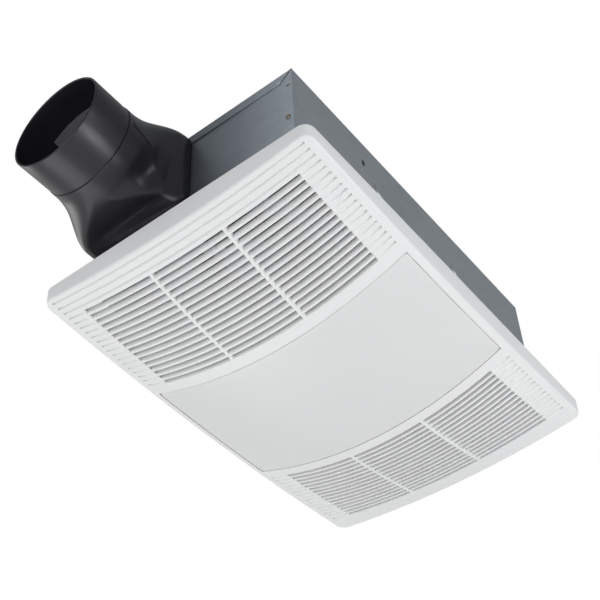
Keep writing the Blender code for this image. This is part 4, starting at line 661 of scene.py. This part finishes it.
def lens_levels(x, y):
    """Levels of the lens: a thin middle, a skirt and a flange behind the cover."""
    if abs(x) > LENS_X or abs(y) > GROOVE_END:
        return FLANGE_LEVEL, SKIRT_HEIGHT
    if abs(x) > LENS_X - SKIRT_WIDTH or abs(y) > GROOVE_END - SKIRT_WIDTH:
        return 0.0, SKIRT_HEIGHT
    return 0.0, LENS_WALL


def mirrored(values, longest):
    """Dividing places on both sides of zero, with wide steps split."""
    values = sorted({round(sign * value, 7) for value in values for sign in (-1, 1)})
    lines = values[:1]
    for value in values[1:]:
        start, parts = lines[-1], max(1, math.ceil((value - lines[-1]) / longest))
        lines += [start + (value - start) * (k + 1) / parts for k in range(parts)]
    return lines


def add_panel(bm, lines_x, lines_y, levels, sunk, closed):
    """Cells between two levels behind the face, with walls wherever the levels change."""
    cells = {(i, j): levels((a + b) / 2, (c + d) / 2)
             for i, (a, b) in enumerate(zip(lines_x, lines_x[1:]))
             for j, (c, d) in enumerate(zip(lines_y, lines_y[1:]))}
    verts = {}

    def vert(place, level):
        key = (*place, round(level * 1e6))
        if key not in verts:
            x, y = lines_x[place[0]], lines_y[place[1]]
            verts[key] = bm.verts.new((x, y, face(x, y) + (level or sunk(x, y))))
        return verts[key]

    for (i, j), cell in cells.items():
        if cell is None:
            continue
        low, high = cell
        corners = ((i, j), (i + 1, j), (i + 1, j + 1), (i, j + 1))
        bm.faces.new([vert(corner, low) for corner in reversed(corners)])
        bm.faces.new([vert(corner, high) for corner in corners])
        for k, other in enumerate(((i, j - 1), (i + 1, j), (i, j + 1), (i - 1, j))):
            if other not in cells and not closed:
                continue
            near = cells.get(other)
            spans = [(low, high)] if near is None else [(low, near[0]), (near[1], high)]
            for bottom, top in spans:
                if top - bottom > MERGE:
                    a, b = corners[k], corners[(k + 1) % 4]
                    bm.faces.new((vert(a, bottom), vert(b, bottom), vert(b, top), vert(a, top)))
    return verts


def add_border(bm, lines_x, lines_y, verts):
    """Join the cover's face to its rounded outline: edge fillet, rim and inner wall."""
    last_x, last_y = len(lines_x) - 1, len(lines_y) - 1
    ring = [(i, 0) for i in range(last_x)] + [(last_x, j) for j in range(last_y)]
    ring += [(i, last_y) for i in range(last_x, 0, -1)] + [(0, j) for j in range(last_y, 0, -1)]
    outline = []
    for i, j in ring:
        x, y = lines_x[i], lines_y[j]
        centre = Vector((max(-CORNER_X, min(CORNER_X, x)), max(-CORNER_Y, min(CORNER_Y, y))))
        away = Vector((x, y)) - centre
        if away.length > MERGE and abs(x) > CORNER_X and abs(y) > CORNER_Y:
            away.normalize()
        else:
            away = Vector((0, math.copysign(1, y)) if j in (0, last_y) else (math.copysign(1, x), 0))
            centre = Vector((x, math.copysign(CORNER_Y, y)) if j in (0, last_y)
                            else (math.copysign(CORNER_X, x), y))
        outline.append((centre, away))
    turns = [math.radians(90 * k / 6) for k in range(7)]
    profile = [(EDGE_RADIUS * (1 - math.sin(t)), EDGE_RADIUS * (1 - math.cos(t)), True) for t in turns]
    profile += [(0, 0, False), (COVER_WALL, 0, False), (COVER_WALL, COVER_WALL, True)]
    loops = [[verts[(*place, 0)] for place in ring]]
    for inset, rise, on_face in profile:
        spots = [centre + away * (CORNER_RADIUS - inset) for centre, away in outline]
        loops.append([bm.verts.new((x, y, face(x, y) + rise if on_face else 0)) for x, y in spots])
    loops.append([verts[(*place, round(COVER_WALL * 1e6))] for place in ring])
    join_loops(bm, loops)


def make_cover(looks):
    """The louvred cover, with round-bottomed grooves and the bosses behind it."""
    # The dividing lines stand closest where the slots' edges and the grooves bend
    steps = (0, 0.35 * MM, SLOT_ROUNDING)
    offsets = [GROOVE_HALF * part for part in (0, 0.3, 0.65, 1)] + [SLOT_HALF + step for step in steps]
    across = [FIRST_SLOT + SLOT_PITCH * row + side * offset
              for row in range(GROOVE_ROWS) for offset in offsets for side in (-1, 1)]
    across = [x for x in across if x < EDGE_X - 0.5 * MM]
    across += [0, LENS_X + LENS_GAP, GRILLE_START, CORNER_X, GRILLE_END, EDGE_X]
    lengthways = [GROOVE_END - step * MM for step in (8, 5.5, 3.8, 2.6, 1.8, 1.1, 0.5, 0)]
    lengthways += [MULLION_Y + side * (MULLION_HALF - step) for step in steps for side in (-1, 1)]
    lengthways += [0, GROOVE_END + LENS_GAP, EDGE_Y] + [SLOT_END + step for step in steps]
    lines_x, lines_y = mirrored(across, COVER_CELL), mirrored(lengthways, COVER_CELL)
    bm = bmesh.new()
    verts = add_panel(bm, lines_x, lines_y, cover_levels, relief, closed=False)
    add_border(bm, lines_x, lines_y, verts)
    for x in (-BOSS_X, BOSS_X):
        for y in (-BOSS_Y, BOSS_Y):
            foot, narrow = face(x, y) + COVER_WALL / 2, BOSS_RADIUS - BOSS_CHAMFER
            rings = [(BOSS_RADIUS, foot), (BOSS_RADIUS, BOSS_TOP - 0.2 * MM)]
            turned(rings + [(narrow, BOSS_TOP), (0, BOSS_TOP)], Matrix.Translation((x, y, 0)), 24, bm)
    shell = add_piece("cover_shell", bm, looks["cover_plastic"], "cover_assembly", 32)
    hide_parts("cover")


def make_lens(looks):
    """The lens between the grilles, with a smooth dome and a rounded border."""
    insets = [SKIRT_WIDTH, LENS_ROUNDING, -FLANGE_WIDTH]
    insets += [step * MM for step in (3.2, 1.4, 0.9, 0.5, 0.2, 0)]
    lines_x = mirrored([0] + [LENS_X - inset for inset in insets], LENS_CELL)
    lines_y = mirrored([0] + [GROOVE_END - inset for inset in insets], LENS_CELL)

    def edge(x, y):
        """Depth of the border's rounding, which also turns the corners."""
        over = Vector((abs(x) - LENS_X + LENS_CORNER, abs(y) - GROOVE_END + LENS_CORNER))
        past = over.length if min(over) > 0 else max(over)
        short = LENS_ROUNDING - max(0.0, min(LENS_ROUNDING, LENS_CORNER - past))
        return LENS_ROUNDING - math.sqrt(LENS_ROUNDING ** 2 - short ** 2)

    bm = bmesh.new()
    add_panel(bm, lines_x, lines_y, lens_levels, edge, closed=True)
    shell = add_piece("lens_shell", bm, looks["lens"], "cover_assembly", 50)
    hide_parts("light_lens")


# The duct connector and its collar
def eased(x, start, length):
    """A smooth rise from 0 to 1 over a length along X."""
    part = max(0.0, min(1.0, (x - start) / length))
    return part * part * (3 - 2 * part)


def section(x, inset):
    """A cross-section of the connector: round at the neck, a rounded rectangle at the housing."""
    share = eased(x, SHOULDER_X, SHOULDER_LENGTH)
    # Two corners, by their side in Y and Z, rise earlier than the rest
    rises = {(0, 1): eased(x, EARLY_X, CONNECTOR_X - EARLY_X), (1, 0): eased(x, EARLY_X, BRISK_LENGTH)}
    spans = []
    for middle, (low, high) in zip(DUCT_MIDDLE, BOX_SPANS):
        centre = middle + ((low + high) / 2 - middle) * share
        half = NECK_RADIUS + ((high - low) / 2 - NECK_RADIUS) * share
        spans.append((centre - half + inset, centre + half - inset))
    widest = min(spans[0][1] - spans[0][0], spans[1][1] - spans[1][0]) / 2
    points = []
    for quarter, (side, top) in enumerate(((1, 1), (0, 1), (0, 0), (1, 0))):
        risen = rises.get((side, top), share)
        corner = min(NECK_RADIUS + (BOX_CORNER - NECK_RADIUS) * risen - inset, widest) * 0.999
        centre = (spans[0][side] + (corner if side == 0 else -corner),
                  spans[1][top] + (corner if top == 0 else -corner))
        for step in range(CORNER_STEPS + 1):
            angle = (quarter + step / CORNER_STEPS) * math.pi / 2
            y, z = centre[0] + corner * math.cos(angle), centre[1] + corner * math.sin(angle)
            points.append(hollowed(x, y, z))
    return points


def hollowed(x, y, z):
    """Sink the ramp towards the lower corner of the side at low Y, as the moulding does."""
    away = Vector((y - DUCT_MIDDLE[0], z - DUCT_MIDDLE[1]))
    turn = math.degrees(math.atan2(-away.y, -away.x)) - DENT_HEADING
    width = DENT_ABOVE if turn < 0 else DENT_BELOW
    along = eased(x, DENT_START, DENT_RISE) * (1 - eased(x, DENT_END, DENT_FALL))
    sunk = DENT_DEPTH * along * math.exp(-(turn / width) ** 2)
    away = away * (1 - sunk / away.length)
    return (x, DUCT_MIDDLE[0] + away.x, DUCT_MIDDLE[1] + away.y)


def make_connector(looks):
    """The connector's shell in fine sections, and the collar with its rounded lip."""
    places = [SEAM_X + 0.3 * MM, SEAM_X + 0.8 * MM, SEAM_X + 6 * MM]
    places += [EARLY_X + (CONNECTOR_X - EARLY_X) * k / 36 for k in range(37)]
    insets = [0.5 * MM] + [0.0] * (len(places) - 1)
    bm = bmesh.new()
    loops = [[bm.verts.new(point) for point in section(x, inset)] for x, inset in zip(places, insets)]
    loops += [[bm.verts.new(point) for point in section(x, CONNECTOR_WALL)] for x in reversed(places)]
    join_loops(bm, loops + loops[:1])
    bmesh.ops.remove_doubles(bm, verts=bm.verts, dist=MERGE)
    shell = add_piece("connector_shell", bm, looks["black_plastic"], "housing")
    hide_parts("duct_connector")
    inner, lip = COLLAR_RADIUS - COLLAR_WALL, COLLAR_WALL / 2
    profile = [(inner, 0), (COLLAR_RADIUS - COLLAR_CHAMFER, 0), (COLLAR_RADIUS, COLLAR_CHAMFER),
               (COLLAR_RADIUS, COLLAR_MIDDLE)]
    for k in range(11):
        angle = math.radians(180 * k / 10)
        profile.append((COLLAR_RADIUS - lip + lip * math.cos(angle),
                        COLLAR_LENGTH - lip + lip * math.sin(angle)))
    profile += [(inner, COLLAR_MIDDLE), (inner, 0)]
    bm = turned(profile, facing((-1, 0, 0), (SEAM_X, *DUCT_MIDDLE)), 144)
    bmesh.ops.remove_doubles(bm, verts=bm.verts, dist=MERGE)
    shell = add_piece("collar_shell", bm, looks["black_plastic"], "housing")
    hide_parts("duct_collar")


def make_mouth_tongue(looks):
    """The tongue of the connector's neck inside the collar, seen through the mouth; its grey plastic is
    lightened to about twice the flap's tone, as painted light.
    """
    outline = ((TONGUE_INNER, TONGUE_FRONT), (TONGUE_OUTER, TONGUE_FRONT),
               (TONGUE_OUTER, TONGUE_BACK), (TONGUE_INNER, TONGUE_BACK))
    rings = []
    for k in range(25):
        angle = math.radians(TONGUE_START + TONGUE_TURN * k / 24)
        away = Vector((math.cos(angle), math.sin(angle)))
        rings.append([(x, *(Vector(DUCT_MIDDLE) + away * radius)) for radius, x in outline])
    tongue = add_piece("mouth_tongue", bar(rings), looks["tongue_painted_light_grey"], "housing", 30)


def make_neck_slit(looks):
    """A dark sliver on the side of the neck, the painted shadow of the narrow curved slit that ends where
    the shoulder rises.
    """
    rings = []
    for k in range(13):
        part = k / 12
        x, z = SLIT_X + SLIT_LENGTH * part, SLIT_Z - SLIT_DROP * part ** 1.3
        half = SLIT_HALF - (SLIT_HALF - SLIT_TIP) * part ** 0.8
        side = min(point[1] for point in section(x, 0.0))
        ring = []
        for up, out in ((-half, SLIT_OUT), (half, SLIT_OUT), (half, -SLIT_IN), (-half, -SLIT_IN)):
            rise = z + up - DUCT_MIDDLE[1]
            ring.append((x, side + rise * rise / (2 * NECK_RADIUS) - out, z + up))
        rings.append(ring)
    add_piece("neck_slit_shadow", bar(rings), looks["hole"], "housing", 30)


def look_of(part):
    """The slot whose look a node takes: the rivets differ from the other steel."""
    return "rivet" if part["node"].startswith("flange_rivet") else part["material_slot"]


def dress_nodes(looks):
    """Give every CAD node the procedural material of its slot."""
    for part in frame["record"]["subparts"]:
        node = bpy.data.objects[part["node"]]
        if node.data.materials:
            node.data.materials[0] = looks[look_of(part)]
        else:
            node.data.materials.append(looks[look_of(part)])


def softened(bm, width):
    """Cut the sharp edges of a form by narrow facets, as folded or moulded edges are rounded."""
    bmesh.ops.dissolve_limit(bm, angle_limit=math.radians(0.5), verts=bm.verts, edges=bm.edges)
    edges = [edge for edge in bm.edges if len(edge.link_faces) == 2
             and edge.calc_face_angle(0) > math.radians(50) and edge.calc_length() > 2 * width]
    bmesh.ops.bevel(bm, geom=edges, offset=width, segments=1, affect="EDGES", clamp_overlap=True)


def make_smooth_copies(looks):
    """Show the other solids with smooth round faces and slightly softened edges."""
    behaviour = frame["record"]["behaviour"]
    body_of = {node: body for body, nodes in behaviour["bodies"].items() for node in nodes}
    for part in frame["record"]["subparts"]:
        name = part["node"]
        if name in REBUILT or name.startswith("torsion_spring"):
            continue
        node = bpy.data.objects[name]
        bm = bmesh.new()
        bm.from_mesh(node.data)
        bm.transform(node.matrix_world)
        bmesh.ops.remove_doubles(bm, verts=bm.verts, dist=MERGE)
        if name in SOFT_EDGES:
            softened(bm, SOFT_EDGES[name] * MM)
        piece = add_piece(name + "_smooth", bm, looks[look_of(part)], body_of[name], COPY_ANGLE)
        weigh_normals(piece.data, COPY_ANGLE)
        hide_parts(name)


def main():
    """Camera, looks, pieces, light and floor, in this order."""
    scene = bpy.context.scene
    scene.view_settings.view_transform = "Standard"
    add_camera()
    looks = make_materials()
    dress_nodes(looks)
    make_housing_marks(looks)
    make_smooth_copies(looks)
    make_cover(looks)
    make_lens(looks)
    make_connector(looks)
    make_mouth_tongue(looks)
    make_neck_slit(looks)
    make_world()
    for light in LIGHTS:
        area_light(*light)
    make_floor()


main()
